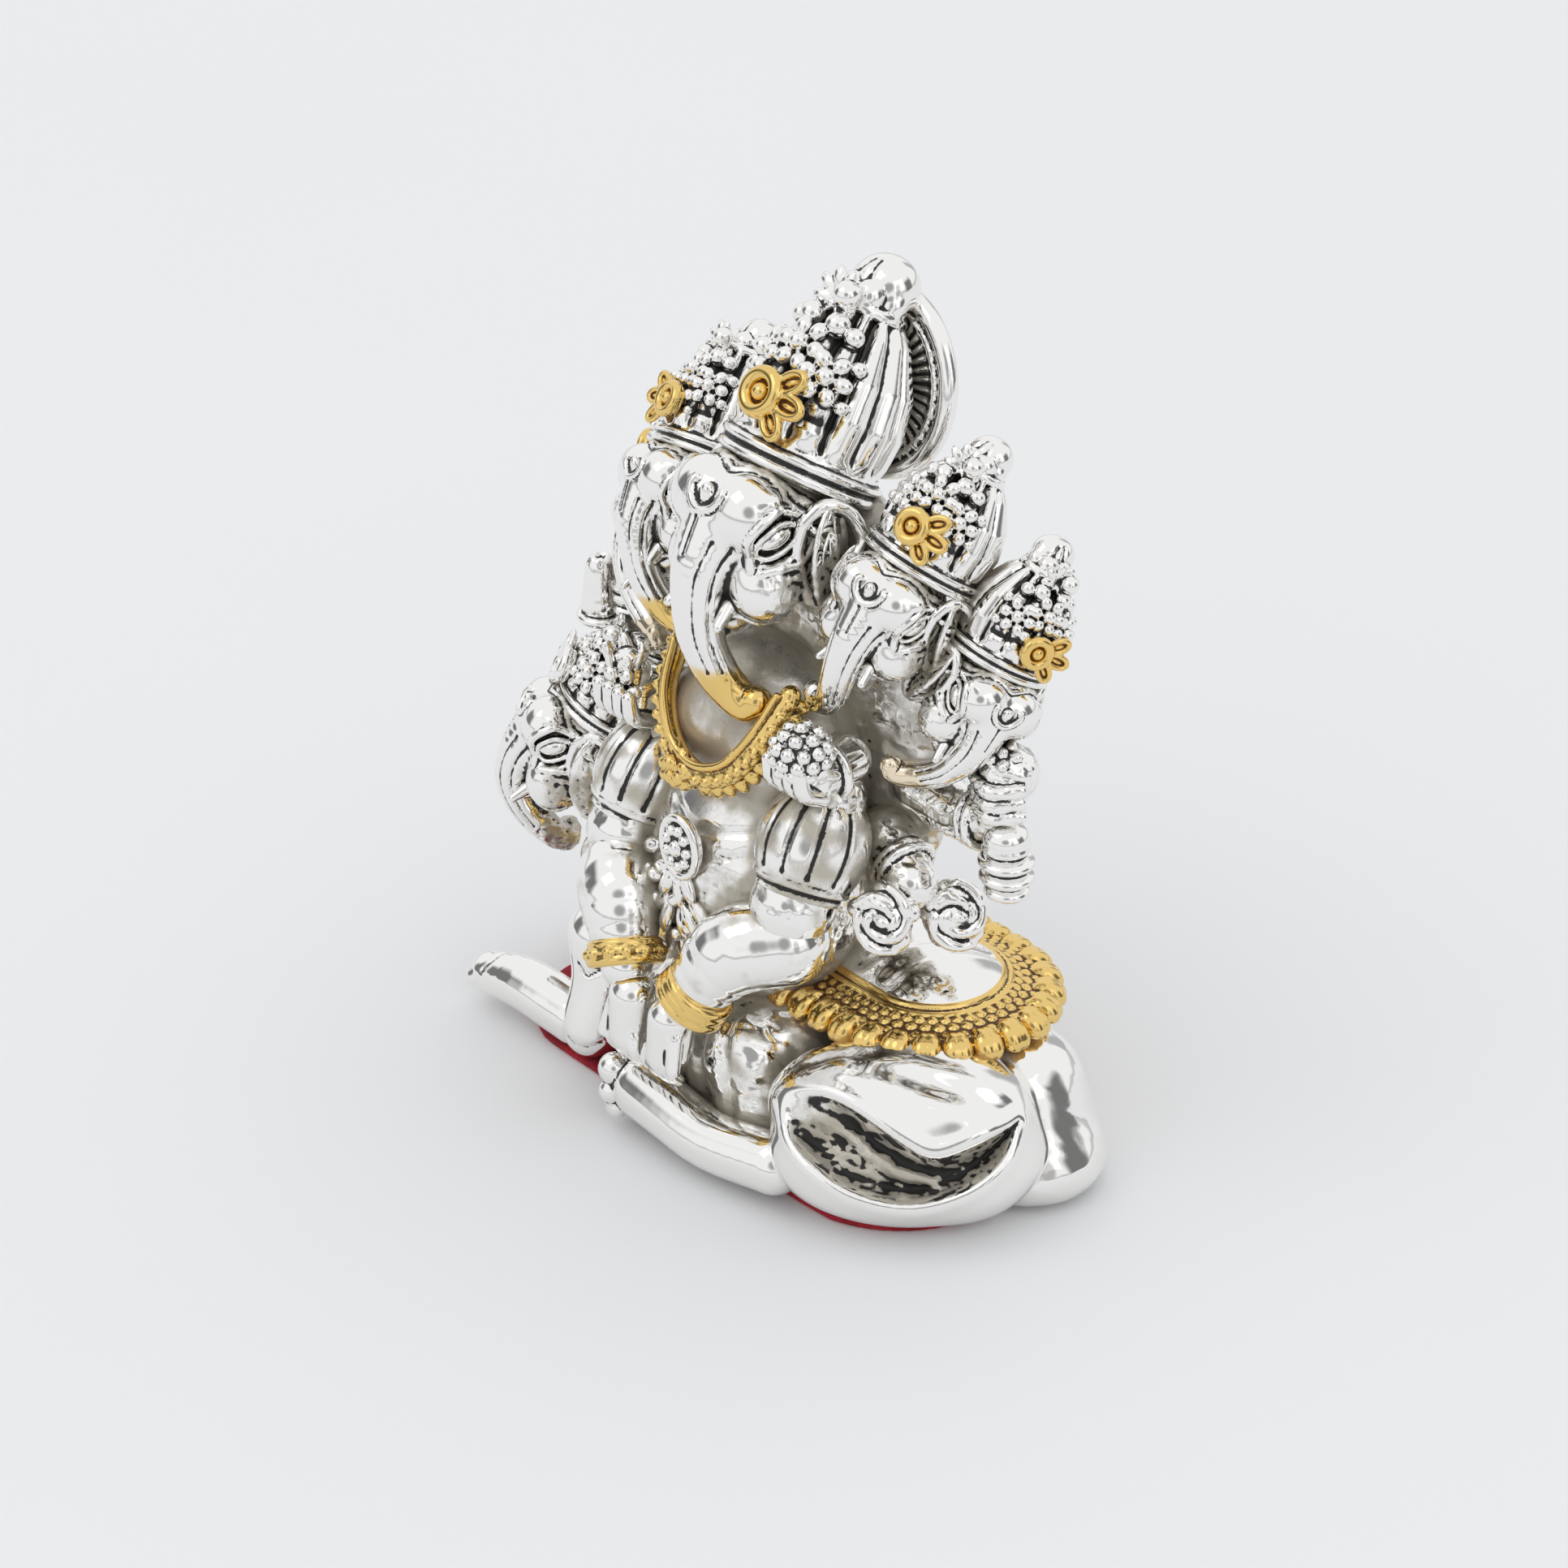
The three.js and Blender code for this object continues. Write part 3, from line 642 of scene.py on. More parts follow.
def trunk_gold(p):
    tip = smooth_step(-13.6, -15.6, p[:, 2] + 0.9 * ripple(p, 5.0, 2))
    return tip * smooth_step(-2.0, -4.0, p[:, 1] - np.maximum(p[:, 0] - 4, 0))


def head_skin(tuck):
    return Skin(head_form(tuck), (-14, -16, -24), (14, 11, 13.5), 0.3, trunk_gold)


# ---- Crowns -------------------------------------------------------------------------------
CROWN = 9.4  # radius of the middle crown's foot
CROWN_PROFILE = (
    (0.98, 0), (1.06, 0.08), (1.0, 0.13), (1.07, 0.3), (0.97, 0.46), (0.68, 0.63), (0.42, 0.73),
    (0.4, 0.8), (0.2, 0.86), (0, 0.87),
)


def crown_surface(angle, share, height, out=0.0):
    """A point on a crown, its angle from the front and its share of the height."""
    shares = [z for _, z in CROWN_PROFILE]
    reach = CROWN * np.interp(share, shares, [r for r, _ in CROWN_PROFILE]) + out
    a = math.radians(angle)
    return np.array((reach * math.sin(a), -reach * math.cos(a), share * height))


def crown_form(height):
    """A pleated cap in a double band, with rosettes and berries up its front and a bud on top."""
    body = lathe([(r * CROWN, z * height) for r, z in CROWN_PROFILE])
    pleats = 13

    def pleated(p):
        d = body(p)
        angle = np.arctan2(p[:, 0], -p[:, 1])
        share = p[:, 2] / height
        reach = np.hypot(p[:, 0], p[:, 1])
        bend = 0.25 * np.sin(5 * share)
        phase = (angle + bend * 0.3) * pleats / (2 * math.pi)
        away = np.abs(phase - np.round(phase)) * 2 * math.pi / pleats * np.maximum(reach, 1)
        fade = smooth_step(0.12, 0.18, share) * (1 - smooth_step(0.66, 0.76, share))
        deep = 0.65 + 0.35 * np.sin(3.1 * np.round(phase) + 1)
        cut = np.exp(-((away / 0.42) ** 2)) * fade * deep
        crest = np.cos(phase * 2 * math.pi) * fade * 1.6
        return d + 1.15 * cut + 0.22 * crest

    parts = [pleated]
    foot = height * 0.03
    for z, reach, thick in ((foot, 1.04, 0.62), (foot + 1.7, 1.06, 0.5)):
        parts.append(ring((0, 0, z), (0, 0, 1), CROWN * reach, thick))
    parts.append(ring((0, 0, height * 0.715), (0, 0, 1), CROWN * 0.45, 0.75))
    # bud on top: a tall pod with six petals round its foot
    for i in range(6):
        a = math.radians(60 * i + 30)
        way = np.array((math.sin(a), -math.cos(a), 0))
        turn = np.column_stack([np.cross((0, 0, 1), way), way, (0, 0, 1)])
        parts.append(ball(way * height * 0.11 + (0, 0, height * 0.765), (1.9, 1.6, height * 0.07), turn))
    tilt = axes((0, 0.12, 1), (0, -1, 0))
    pod = fuse(1.0, ball((0, 0.8, height * 0.81), np.array((0.15, 0.135, 0.145)) * height, tilt),
               ball((0.045 * height, 0.2, height * 0.84), np.array((0.1, 0.095, 0.1)) * height, tilt))
    seams = []
    for s in (-1, 0.35):
        points = [(s * 0.06, -0.1, 0.7), (s * 0.07, -0.12, 0.8), (s * 0.03, -0.08, 0.92)]
        seams.append(drape(pod, curve(np.array(points) * height, 4)))
    parts.append(lined(pod, seams, 0.35, -0.6))
    # a whorl of leaves with a ball in it, before the bud
    whorl = crown_surface(0, 0.72, height, 1.2)
    for lean in (-150, -105, -62, -20, 20, 62, 105, 150):
        a = math.radians(lean)
        way = np.array((math.sin(a), -0.35, math.cos(a)))
        parts.append(leaf(whorl, whorl + 4.0 * unit(way), (0, -1, 0.3), 1.9, 0.75))
    parts.append(ball(whorl + (1.9, -1.5, 0.6), 1.75))
    whole = fuse(0.3, *parts)
    # rosettes and berries up the front
    gems = []
    for angle, share, radius in ((0, 0.5, 2.7), (33, 0.42, 2.6), (-33, 0.42, 2.6)):
        a = math.radians(angle)
        bloom = crown_surface(angle, share, height, 0.1)
        gems.append(rosette(bloom, (math.sin(a), -math.cos(a), 0.25), radius, 6))
    berries = (
        (19, 0.62, 1.6), (40, 0.6, 1.3), (17, 0.33, 1.0),
        (52, 0.34, 0.9), (54, 0.5, 1.0), (22, 0.24, 0.8),
    )
    for angle, share, radius in berries:
        gems += [ball(crown_surface(s * angle, share, height, 0.3), radius) for s in SIDES]

    def dug(p):
        """The ground behind the ornaments is sunk a little, so that they stand out dark-edged."""
        d = whole(p)
        angle = np.degrees(np.arctan2(p[:, 0], -p[:, 1]))
        share = p[:, 2] / height
        here = (1 - smooth_step(50, 62, np.abs(angle))) * smooth_step(0.2, 0.26, share)
        return d + 0.7 * here * (1 - smooth_step(0.62, 0.7, share))

    form = fuse(0.12, dug, *gems)
    form.ink = lambda p: 0.8 * (1 - smooth_step(0.05, 0.3, dug(p))) * smooth_step(0.3, 0.6, -whole(p))
    return form


def crown_skin(height):
    reach = CROWN * 1.07 + 3.4
    return Skin(crown_form(height), (-reach, -reach, -2), (reach, reach, height + 1.5), 0.32)


def flower_form():
    """A rolled ring round a dome, with looped leaves at one side. It faces +Z."""
    parts = [
        ball((0, 0, 0.2), (3.0, 3.0, 0.9)),
        ring((0, 0, 1.25), (0, 0, 1), 2.35, 0.95),
        ball((0, 0, 1.3), (1.15, 1.15, 1.1)),
        ring((0, 0, 0.9), (0, 0, 1), 1.45, 0.3),
    ]
    for way, reach in ((35, 3.2), (-2, 3.6), (-42, 3.1)):
        a = math.radians(way)
        side = np.array((math.cos(a), math.sin(a), 0))
        turn = np.column_stack([side, (-side[1], side[0], 0), (0, 0, 1)])
        middle = side * (2.4 + reach * 0.62) + (0, 0, 0.6)
        loop = []
        for angle in np.linspace(0, 2 * math.pi, 11):
            point = (math.cos(angle) * reach * 0.62, math.sin(angle) * 1.15, 0.25)
            loop.append((*(middle + turn @ point), 0.5))
        parts.append(strand(loop, 2))
        parts.append(ball(middle - (0, 0, 0.3), (reach * 0.6, 1.1, 0.45), turn))
        parts.append(ball(middle + (0, 0, 0.2), (reach * 0.3, 0.36, 0.45), turn))
    return fuse(0.18, *parts)


def flower_skin():
    return Skin(flower_form(), (-4.4, -5, -1.4), (8.6, 5, 3.2), 0.2)


CROWN_HEIGHTS = {"middle": 31, "side": 19}
PAIR_CROWN_HEIGHT = 27


def add_heads(silver):
    for word in HEADS:
        at, turn, size, mirror, gilding = head_place(word)
        tuck = 5.0 if word == "side" else 0.0
        skin = shared(f"head {tuck}", lambda: head_skin(tuck))
        piece(word + "_head", skin, silver, at, turn, size, mirror, gilding)


def crown_places():
    """Each head's word with its crown's foot, turn, size and height."""
    for word in HEADS:
        at, turn, size, _, _ = head_place(word)
        leant = turn @ lean_turn(SIDE_LEAN if word == "side" else LEAN)
        height = CROWN_HEIGHTS.get(word, PAIR_CROWN_HEIGHT)
        yield word, at + size * turn @ CROWN_FOOT, leant, size, height


def add_crowns(silver):
    for word, foot, leant, size, height in crown_places():
        skin = shared(f"crown {height}", lambda: crown_skin(height))
        piece(word + "_crown", skin, silver, foot, leant, size)


def add_flowers(silver, gold):
    stand = np.array(((1, 0, 0), (0, 0, -1), (0, 1, 0)))  # the bloom's +Z looks out along -Y
    for word, foot, leant, size, height in crown_places():
        front = np.array((0, -(CROWN * 1.07 + 0.3), height * 0.27))
        skin = shared("flower", flower_skin)
        finish = silver if word == "side" else gold
        at, mirror = foot + size * leant @ front, Spot(word + "_head").middle[0] < -1
        piece(word + "_crown_flower", skin, finish, at, leant @ stand, size, mirror)


# ---- Halo ---------------------------------------------------------------------------------
def halo_form(spot):
    tilt = lean_turn(math.radians(12))
    radius = spot.size[0] / 2 - 1.4

    def form(p):
        q = (p - single(spot.middle - (0, 0, 2.6))) @ single(tilt)
        x, y, z = q[:, 0], q[:, 1], q[:, 2]
        reach = np.hypot(x, z)
        angle = np.arctan2(x, z)
        ribs = np.cos(angle * 40)
        band = smooth_step(4.2, 5.2, reach) * (1 - smooth_step(radius - 2.6, radius - 2.0, reach))
        thick = 0.75 + 0.32 * ribs * band
        disc = np.maximum(np.abs(y) - thick, reach - (radius - 1))
        rim = np.hypot(reach - (radius - 1.25), y) - 1.2
        inner = np.hypot(reach - (radius - 3.0), np.abs(y) - 0.6) - 0.5
        turn = angle * 26 / (2 * math.pi)
        away = (turn - np.round(turn)) * 2 * math.pi / 26 * np.maximum(reach, 1)
        beads = np.sqrt((reach - radius * 0.42) ** 2 + away**2 + (np.abs(y) - 0.8) ** 2) - 0.62
        d = smooth_min(disc, rim, 0.4)
        d = smooth_min(d, inner, 0.2)
        return smooth_min(d, beads, 0.15)

    return form


# ---- Body ---------------------------------------------------------------------------------
def torso_form(spot):
    belly = ball(spot.around(0, 0, -6.5), (15, 12, 18))
    chest = ball(spot.around(0, 2.5, 13.5), (13.5, 9, 11))
    breasts = [ball(spot.around(s * 5.6, -2.6, 13.5), (6.4, 5, 6)) for s in SIDES]
    neck = ball(spot.around(0, 3, 19.5), (7, 7, 5))
    body = fuse(3.0, belly, chest, *breasts, neck)
    sash = [
        cord_on(body, spot.path((-14, -6, -6 + k), (-6, -13, -12 + k), (4, -13, -13 + k),
                                (14, -6, -5 + k)), 0.55)
        for k in (0, -2.0)
    ]
    folds = [
        drape(body, curve(spot.path((-13, -4, k), (0, -12, k - 2.5), (13, -4, k)), 5))
        for k in (6.5, 3.0)
    ]
    whole = fuse(0.3, lined(body, folds, 0.6, -0.5), *sash)
    centre = spot.middle[2]
    form = rough(whole, 0.14, 3.2, lambda p: 1 - smooth_step(centre, centre + 6, p[:, 2]))
    # more of the dull grey towards the top of the chest
    form.dust_and_shade = lambda p: 0.24 + 0.32 * smooth_step(centre + 6, centre + 12, p[:, 2])
    form.ink = lambda p: np.full(len(p), -0.4)
    return form


def back_form(spot):
    body = ball(spot.around(0, 0, -1.1), (spot.size[0] / 2, 7.6, spot.size[2] / 2 + 1))
    lines = []
    outline = ((13, 25), (18, 12), (21, -2), (20, -16), (18, -28))
    for x in np.linspace(-0.86, 0.86, 13):
        points = [spot.around(x * w, 7, z) for w, z in outline]
        lines.append(drape(body, curve(points, 7)))
    folds = lined(body, lines, 0.65, -0.75)
    scarf = [
        cord_on(body, spot.path((-19, 6, 12 + k), (-8, 8, 2 + k), (8, 8, 1 + k), (19, 6, 11 + k)), r)
        for k, r in ((0, 1.0), (-2.6, 0.6), (2.4, 0.6))
    ]
    knot = rosette(spot.around(0, 7.4, 3), (0, 1, 0), 3.4, 8)
    whole = fuse(0.35, folds, *scarf, knot)

    def inner(p):
        """1 on the side towards the heads."""
        return 1 - smooth_step(spot.middle[1], spot.middle[1] + 3, p[:, 1])

    form = rough(whole, 0.28, 4.6, inner, 2.0)
    form.dust_and_shade = lambda p: 0.45 * inner(p)
    form.ink = lambda p: -0.65 * inner(p)
    return form


def seat_form(spot):
    half = spot.size[0] / 2 - 10.5
    middle = spot.middle
    roll = strand([(middle[0] + s * (half - 3), middle[1], middle[2] - 0.2, 9.6) for s in (-1, 1)])
    flare = [ball(spot.around(s * (half + 0.6), -0.4, -6), (9.8, 9.9, 6.4)) for s in SIDES]
    body = fuse(4.0, roll, *flare)
    lines = []
    for x in np.linspace(-0.9, 0.9, 11):
        points = spot.path((x * half, 8, 9), (x * (half + 2), 11, 2), (x * (half + 5), 10, -9))
        lines.append(drape(body, curve(points, 7)))
    body = rough(lined(body, lines, 0.9, -0.55), 0.05, 7.0)
    low, high = spot.low[2], spot.high[2]
    return lambda p: np.maximum(-smooth_min(-body(p), high - p[:, 2], 1.2), low - p[:, 2])


def round_the_hips(p, middle, half, reach):
    """Distance out from the line between the hips, and the way along round it."""
    x = np.abs(p[:, 0] - middle[0])
    along_x = np.minimum(x, half)
    out_x = x - along_x
    out_y = p[:, 1] - middle[1]
    turn = np.arctan2(out_x, -out_y)
    behind = (out_x <= 0) & (out_y > 0)
    way = np.where(behind, 2 * half + reach * math.pi - along_x, along_x + reach * turn)
    return np.hypot(out_x, out_y), way


def hip_form(spot):
    half = spot.size[0] / 2 - spot.size[1] / 2
    foot = spot.low[2]

    def body(p):
        out, _ = round_the_hips(p, spot.middle, half, 10)
        rise = p[:, 2] - foot
        near = np.hypot(out / 10.3, rise / (spot.size[2] + 0.6))
        return (near - 1) * 7.2

    folds = []
    for s in SIDES:
        for k in (-6, -1):
            points = spot.path((s * (half + k), -6.5, 1.6), (s * (half + k * 0.7 + 1), 0, 2.9),
                               (s * (half + k * 0.4 + 3), 6.5, 1.6))
            folds.append(drape(body, curve(points, 4)))
    return cut_flat(lined(body, folds, 1.1, -0.5), foot)


def brim_form(spot):
    """A gold collar round the hips: twin rings, three rows of netted beads, a fringe of pods."""
    outer = spot.size[1] / 2
    half = spot.size[0] / 2 - outer
    foot = spot.low[2]
    section = [(5.8, 2.4), (7.6, 3.6), (9.4, 3.3), (13.2, 1.9), (13.6, 1.2), (13.2, 0.2), (5.8, 0.2)]
    beads = 96
    pods = 46

    def form(p):
        out, way = round_the_hips(p, spot.middle, half, 10.2)
        z = p[:, 2] - foot
        d = outline_distance(single(np.column_stack([out, z])), section) - 0.15
        for reach, level, thick in ((8.3, 3.5, 0.75), (9.5, 3.2, 0.45), (13.3, 1.9, 0.4)):
            d = smooth_min(d, np.hypot(out - reach, z - level) - thick, 0.15)
        around = 4 * half + 2 * math.pi * 10.2
        pitch = around / beads
        for row in range(3):
            reach = 10.3 + 1.15 * row
            level = 3.05 - (reach - 9.6) * 0.34
            shift = way / pitch + 0.5 * (row % 2)
            aside = (shift - np.round(shift)) * pitch
            bead = np.sqrt((out - reach) ** 2 + aside**2 + (z - level) ** 2) - 0.64
            d = smooth_min(d, bead, 0.08)
        out2, way2 = round_the_hips(p, spot.middle, half, 14)
        around = 4 * half + 2 * math.pi * 14
        pitch = around / pods
        shift = way2 / pitch + 0.5
        aside = (shift - np.round(shift)) * pitch
        for split in (-0.5, 0.5):
            tilt_z = (z - 1.3) + (out2 - 14.0) * 0.25
            near = ((out2 - 14.3) / 2.1) ** 2 + ((aside - split) / 1.35) ** 2 + (tilt_z / 1.75) ** 2
            d = smooth_min(d, (np.sqrt(near) - 1) * 1.5, 0.14)
        return np.maximum(d, -z)

    return form


# ---- Legs and feet ------------------------------------------------------------------------
LEG_ALONG = np.array((0.656, 0.755, 0))
LEG_OUT = np.array((0.755, -0.656, 0))
FOLD_VIEW = np.array((0.377, -0.328, -0.866))  # the way across the fold, downwards and outwards


def left_leg_form(spot):
    turn = np.column_stack([LEG_ALONG, (-0.755, 0.656, 0), (0, 0, 1)])
    foot = spot.low[2]
    calf = ball(spot.around(1.5, 0.1, -3.9), (17, 11, 8.7), turn)
    thigh = ball(spot.around(-1.5, 1.6, 1.0), (16.4, 10.2, 8.0), turn)
    knee = ball(spot.around(6.8, 4.4, -1.6), (8.4, 8.0, 9.8), turn)
    body = fuse(2.6, calf, thigh, knee)
    # the hollow between thigh and calf, drawn across the leg: along it, then downwards
    upper = [(-14.8, -0.4), (-9.6, 0.3), (-5.3, 2.4), (-0.9, 5.5), (3.4, 7.8), (7.7, 6.8), (13.6, 3.9)]
    lower = [(13.8, 4.4), (12.1, 8.5), (7.7, 12.0), (1.2, 13.8),
             (-5.3, 12.6), (-9.6, 10.0), (-13.5, 5.5)]
    hollow = curve(upper + lower + upper[:1], 4)[:-1]
    streak = [(-13, 1.4), (-6, 5.6), (-1, 9.6), (4, 11)]
    crease_line = [(-11, -7.2), (-4, -4.6), (3, -1.6), (9.6, 1.2), (12, 2.6)]

    def across(p):
        """Places in the plane of the fold, and how squarely the skin faces out of it."""
        q = p - single(spot.middle)
        flat = single(np.column_stack([q @ single(LEG_ALONG), q @ single(FOLD_VIEW) + 3.6]))
        return flat, smooth_step(0, 5, q @ single(LEG_OUT))

    def near_line(flat, line, width):
        chain = np.column_stack([np.array(line, float), np.zeros((len(line), 2))])
        level = single(np.column_stack([flat, np.zeros(len(flat))]))
        return np.exp(-((along(level, chain) / width) ** 2))

    def form(p):
        flat, facing = across(p)
        edge = -outline_distance(flat, hollow)
        depth = 3.4 * smooth_step(-0.35, 2.2, edge) * facing
        lip = 0.45 * np.exp(-(((edge + 0.9) / 0.9) ** 2)) * facing
        ridge = near_line(flat, streak, 0.9) * smooth_step(0.4, 1.6, edge) * facing
        wear = ripple(p, 4.2, 4) + 0.5 * ripple(p, 1.9, 6)
        crease = near_line(flat, crease_line, 1.7) * facing
        d = body(p) + depth - lip - 1.0 * ridge - 0.22 * wear * smooth_step(0.3, 1.4, edge) * facing
        return np.maximum(d + 0.9 * crease, foot - p[:, 2])

    def ink(p):
        """Painted shadow in black under the hollow's upper edge, and black patina here and there in its
        floor.
        """
        flat, facing = across(p)
        edge = -outline_distance(flat, hollow)
        under = np.interp(flat[:, 0], [x for x, _ in upper], [y for _, y in upper])
        # painted shadow: black in a band just below the hollow's overhanging upper edge
        band = (1 - smooth_step(0.4, 2.4, flat[:, 1] - under)) * smooth_step(-0.2, 0.3, edge)
        band = band * smooth_step(-0.5, 0.5, ripple(p, 3.6, 3))
        floor = 0.4 * smooth_step(0.42, 0.85, ripple(p, 3.0, 3)) * smooth_step(0.6, 1.6, edge)
        return np.maximum(band, floor) * facing

    def dust_and_shade(p):
        flat, facing = across(p)
        return 0.7 * smooth_step(0.2, 1.2, -outline_distance(flat, hollow)) * facing

    form.ink, form.dust_and_shade = ink, dust_and_shade
    return form


def foot_form(line, toes, foot, fold=None):
    whole = fuse(0.35, strand(line), *[ball(at, r) for at, r in toes])
    if fold is not None:
        whole = lined(whole, [drape(whole, curve(fold, 3))], 0.35, -0.4)
    return cut_flat(whole, foot)


def left_foot_form(spot):
    line = spot.chain((13.5, 1.2, 0.2, 3.9), (4, -0.7, -0.4, 3.7), (-4, -0.7, 0.3, 3.8),
                      (-9.5, -0.2, 0.6, 4.0))
    spread = ((-2.6, 2.6, 2.1), (-3.4, -0.2, 1.6), (-2.6, -2.6, 1.6),
              (-0.6, -3.2, 1.5), (1.6, -3.0, 1.4))
    toes = [(spot.around(-13.2 + 0.25 * k, y + 0.6, z), r) for k, (y, z, r) in enumerate(spread)]
    return foot_form(line, toes, spot.low[2])


def right_foot_form(spot):
    line = spot.chain((8.4, 0.6, -0.2, 3.7), (-1, 0.0, 0.5, 3.5), (-7.4, -0.4, -0.6, 2.9))
    toes = [(spot.around(-8.6, -2.0 + 1.15 * k, -1.0 + 0.12 * k), 1.55 - 0.13 * k) for k in range(4)]
    fold = spot.path((-6.6, -3.6, 1.5), (-5.8, -1.4, 2.9), (-5.9, 1.6, 2.7))
    return foot_form(line, toes, spot.low[2], fold)


def lap_form(spot):
    lumps = (
        ((-0.5, 0.2, -0.6), (14.4, 8.4, 10.4)), ((7, -4, 2.0), (6.5, 5, 6.5)),
        ((-6, -3.5, -1), (6, 5.5, 6)), ((9.6, -2.5, -4.6), (6.4, 6.2, 6.4)), ((8, 2.5, 2), (7, 6, 7.5)),
    )
    body = fuse(2.0, *[ball(spot.around(*at), radii) for at, radii in lumps])
    folds = []
    for k in (-9, -4.5, 0, 4, 9):
        points = spot.path((k * 0.5 + 1, -3, 8.8), (k, -8, 2), (k * 1.15, -8, -7))
        folds.append(drape(body, curve(points, 4)))
    form = cut_flat(rough(lined(body, folds, 0.8, -0.8), 0.16, 4.6), spot.low[2])
    form.dust_and_shade = lambda p: 0.2 + 0.3 * ripple(p, 7.0, 2)
    form.ink = lambda p: np.full(len(p), -0.35)
    return form


def shin_form(spot):
    line = spot.chain((-0.3, 1.1, 5.4, 4.7), (0.9, 0.2, 0, 4.3), (0.8, -1.8, -6.6, 4.0))
    body = strand(line)
    marks = [
        drape(body, curve(spot.path((4.5, -3.5, z), (2.6, -6, z - 1.0), (0.2, -6.4, z)), 4))
        for z in (3.6, -6.8)
    ]
    return cut_flat(lined(body, marks, 0.3, -0.4), spot.low[2])


def thigh_form(spot):
    return fuse(1.0, strand(spot.chain((2.3, 3.1, 0, 8), (-4.8, -2.6, 3.2, 5.5))))


# ---- Arms ---------------------------------------------------------------------------------
def sleeve_form(spot, side):
    """A short gathered sleeve: its pleats meet at the shoulder and a twin hem ends it."""
    down = unit((side * 0.08, -0.48, -0.87))
    turn = axes(-down, (0, -1, 0))
    body = ball(spot.middle, (6.9, 7.2, spot.size[2] / 2 + 0.6), turn)
    top = spot.middle - down * 8.0
    lines = []
    for angle in (-96, -62, -34, -8, 20, 50, 84):
        a = math.radians(angle)
        way = turn @ np.array((math.sin(a), -math.cos(a), 0))
        points = [top + way * 1.4, spot.middle - down * 4 + way * 6, spot.middle + way * 7,
                  spot.middle + down * 3.4 + way * 6.6]
        lines.append(drape(body, curve(points, 4)))
    pleats = lined(body, lines, 0.36, -0.9)
    hems = [ring(spot.middle + down * k, down, r, 0.42) for k, r in ((4.6, 5.75), (5.9, 4.95))]
    form = fuse(0.3, pleats, *hems)
    form.dust_and_shade = lambda p: 0.3 + 0.45 * ripple(p, 7.5, 4)
    form.ink = lambda p: 0.35 * smooth_step(0.5, 1.0, ripple(p, 5.0, 1))
    return form


def bangle_form(spot, way, pegs):
    way = unit(way)
    middle = spot.middle
    parts = [ring(middle + way * k, way, 4.15 - 0.12 * k, 0.72) for k in (-0.75, 0.35, 1.3)]
    if pegs:
        turn = axes(way, (0, -1, 0))
        for angle in np.linspace(0, 330, 12):
            a = math.radians(angle)
            parts.append(ball(middle + turn @ (math.sin(a) * 4.6, -math.cos(a) * 4.6, 0.2), 0.75))
    return fuse(0.3, *parts)


def hand_form(spot, side):
    """A hand laid down on the lap, its fingers together."""
    palm = strand(spot.chain((side * 0.2, 0.6, 3.4, 3.0), (0, 0, -1.5, 2.7)))
    fingers = []
    for k in range(4):
        x = (k - 1.5) * 1.35
        base = spot.around(x, -1.0, -1.0)
        tip = spot.around(x * 1.1 - side * 0.5, 0.4, -5.4 + 0.4 * abs(k - 1.5))
        knuckle = (base + tip) / 2 + (0, -0.9, 0)
        fingers.append(strand([(*base, 0.95), (*knuckle, 0.9), (*tip, 0.7)]))
    thumb = strand(spot.chain((side * 2.2, -0.6, 2, 1.1), (side * 3.0, -1.6, -2, 0.9)))
    return fuse(0.35, palm, *fingers, thumb)


def raised_hand_form(spot, side):
    """A wrist with four fingers curled up round what it holds."""
    wrist = strand(spot.chain((-side * 1, 3.6, -0.4, 3.3), (side * 0.4, -2.8, 0, 3.1)))
    fingers = []
    for k in range(4):
        x = (k - 1.5) * 1.7
        fingers.append(strand(spot.chain((x, -3.2, -1.6, 1.1), (x * 1.1, -6.2, 0.2, 1.1),
                                         (x * 1.1, -6.9, 3.0, 0.9))))
    cuff = ring(spot.around(0, 0.4, -0.3), (0, 1, 0), 3.4, 0.6)
    return fuse(0.3, wrist, *fingers, cuff)


def limb_form(points, rings=(), noise=0.0):
    body = strand(points)
    whole = fuse(0.3, body, *[ring(at, way, r, t) for at, way, r, t in rings])
    form = rough(whole, noise, 3.0)
    form.dust_and_shade = lambda p: 0.1 + 0.35 * ripple(p, 9.0, 5)
    return form


# ---- What the hands hold ------------------------------------------------------------------
def berry_form(spot):
    """A ball set with beads on a sunk ground, in a ribbed cup."""
    radius = spot.size[0] / 2
    parts = [ball(spot.middle, radius - 0.75)]
    for level, count in ((1.0, 1), (0.78, 6), (0.36, 10), (-0.08, 11), (-0.5, 9)):
        for i in range(count):
            a = 2 * math.pi * (i + 0.5 * (count % 2)) / count
            flat = math.sqrt(1 - level * level) if count > 1 else 0
            way = unit((flat * math.cos(a), flat * math.sin(a), level))
            parts.append(ball(spot.middle + way * (radius - 0.7), 0.86))
    cup = spot.middle + np.array((-0.6, 1.6, -radius * 0.8))
    parts.append(ring(cup, (-0.25, 0.45, 1), radius * 0.82, 0.8))
    parts.append(ball(cup - (0, -0.4, 1.6), (3.0, 3.0, 2.0)))
    return fuse(0.14, *parts)


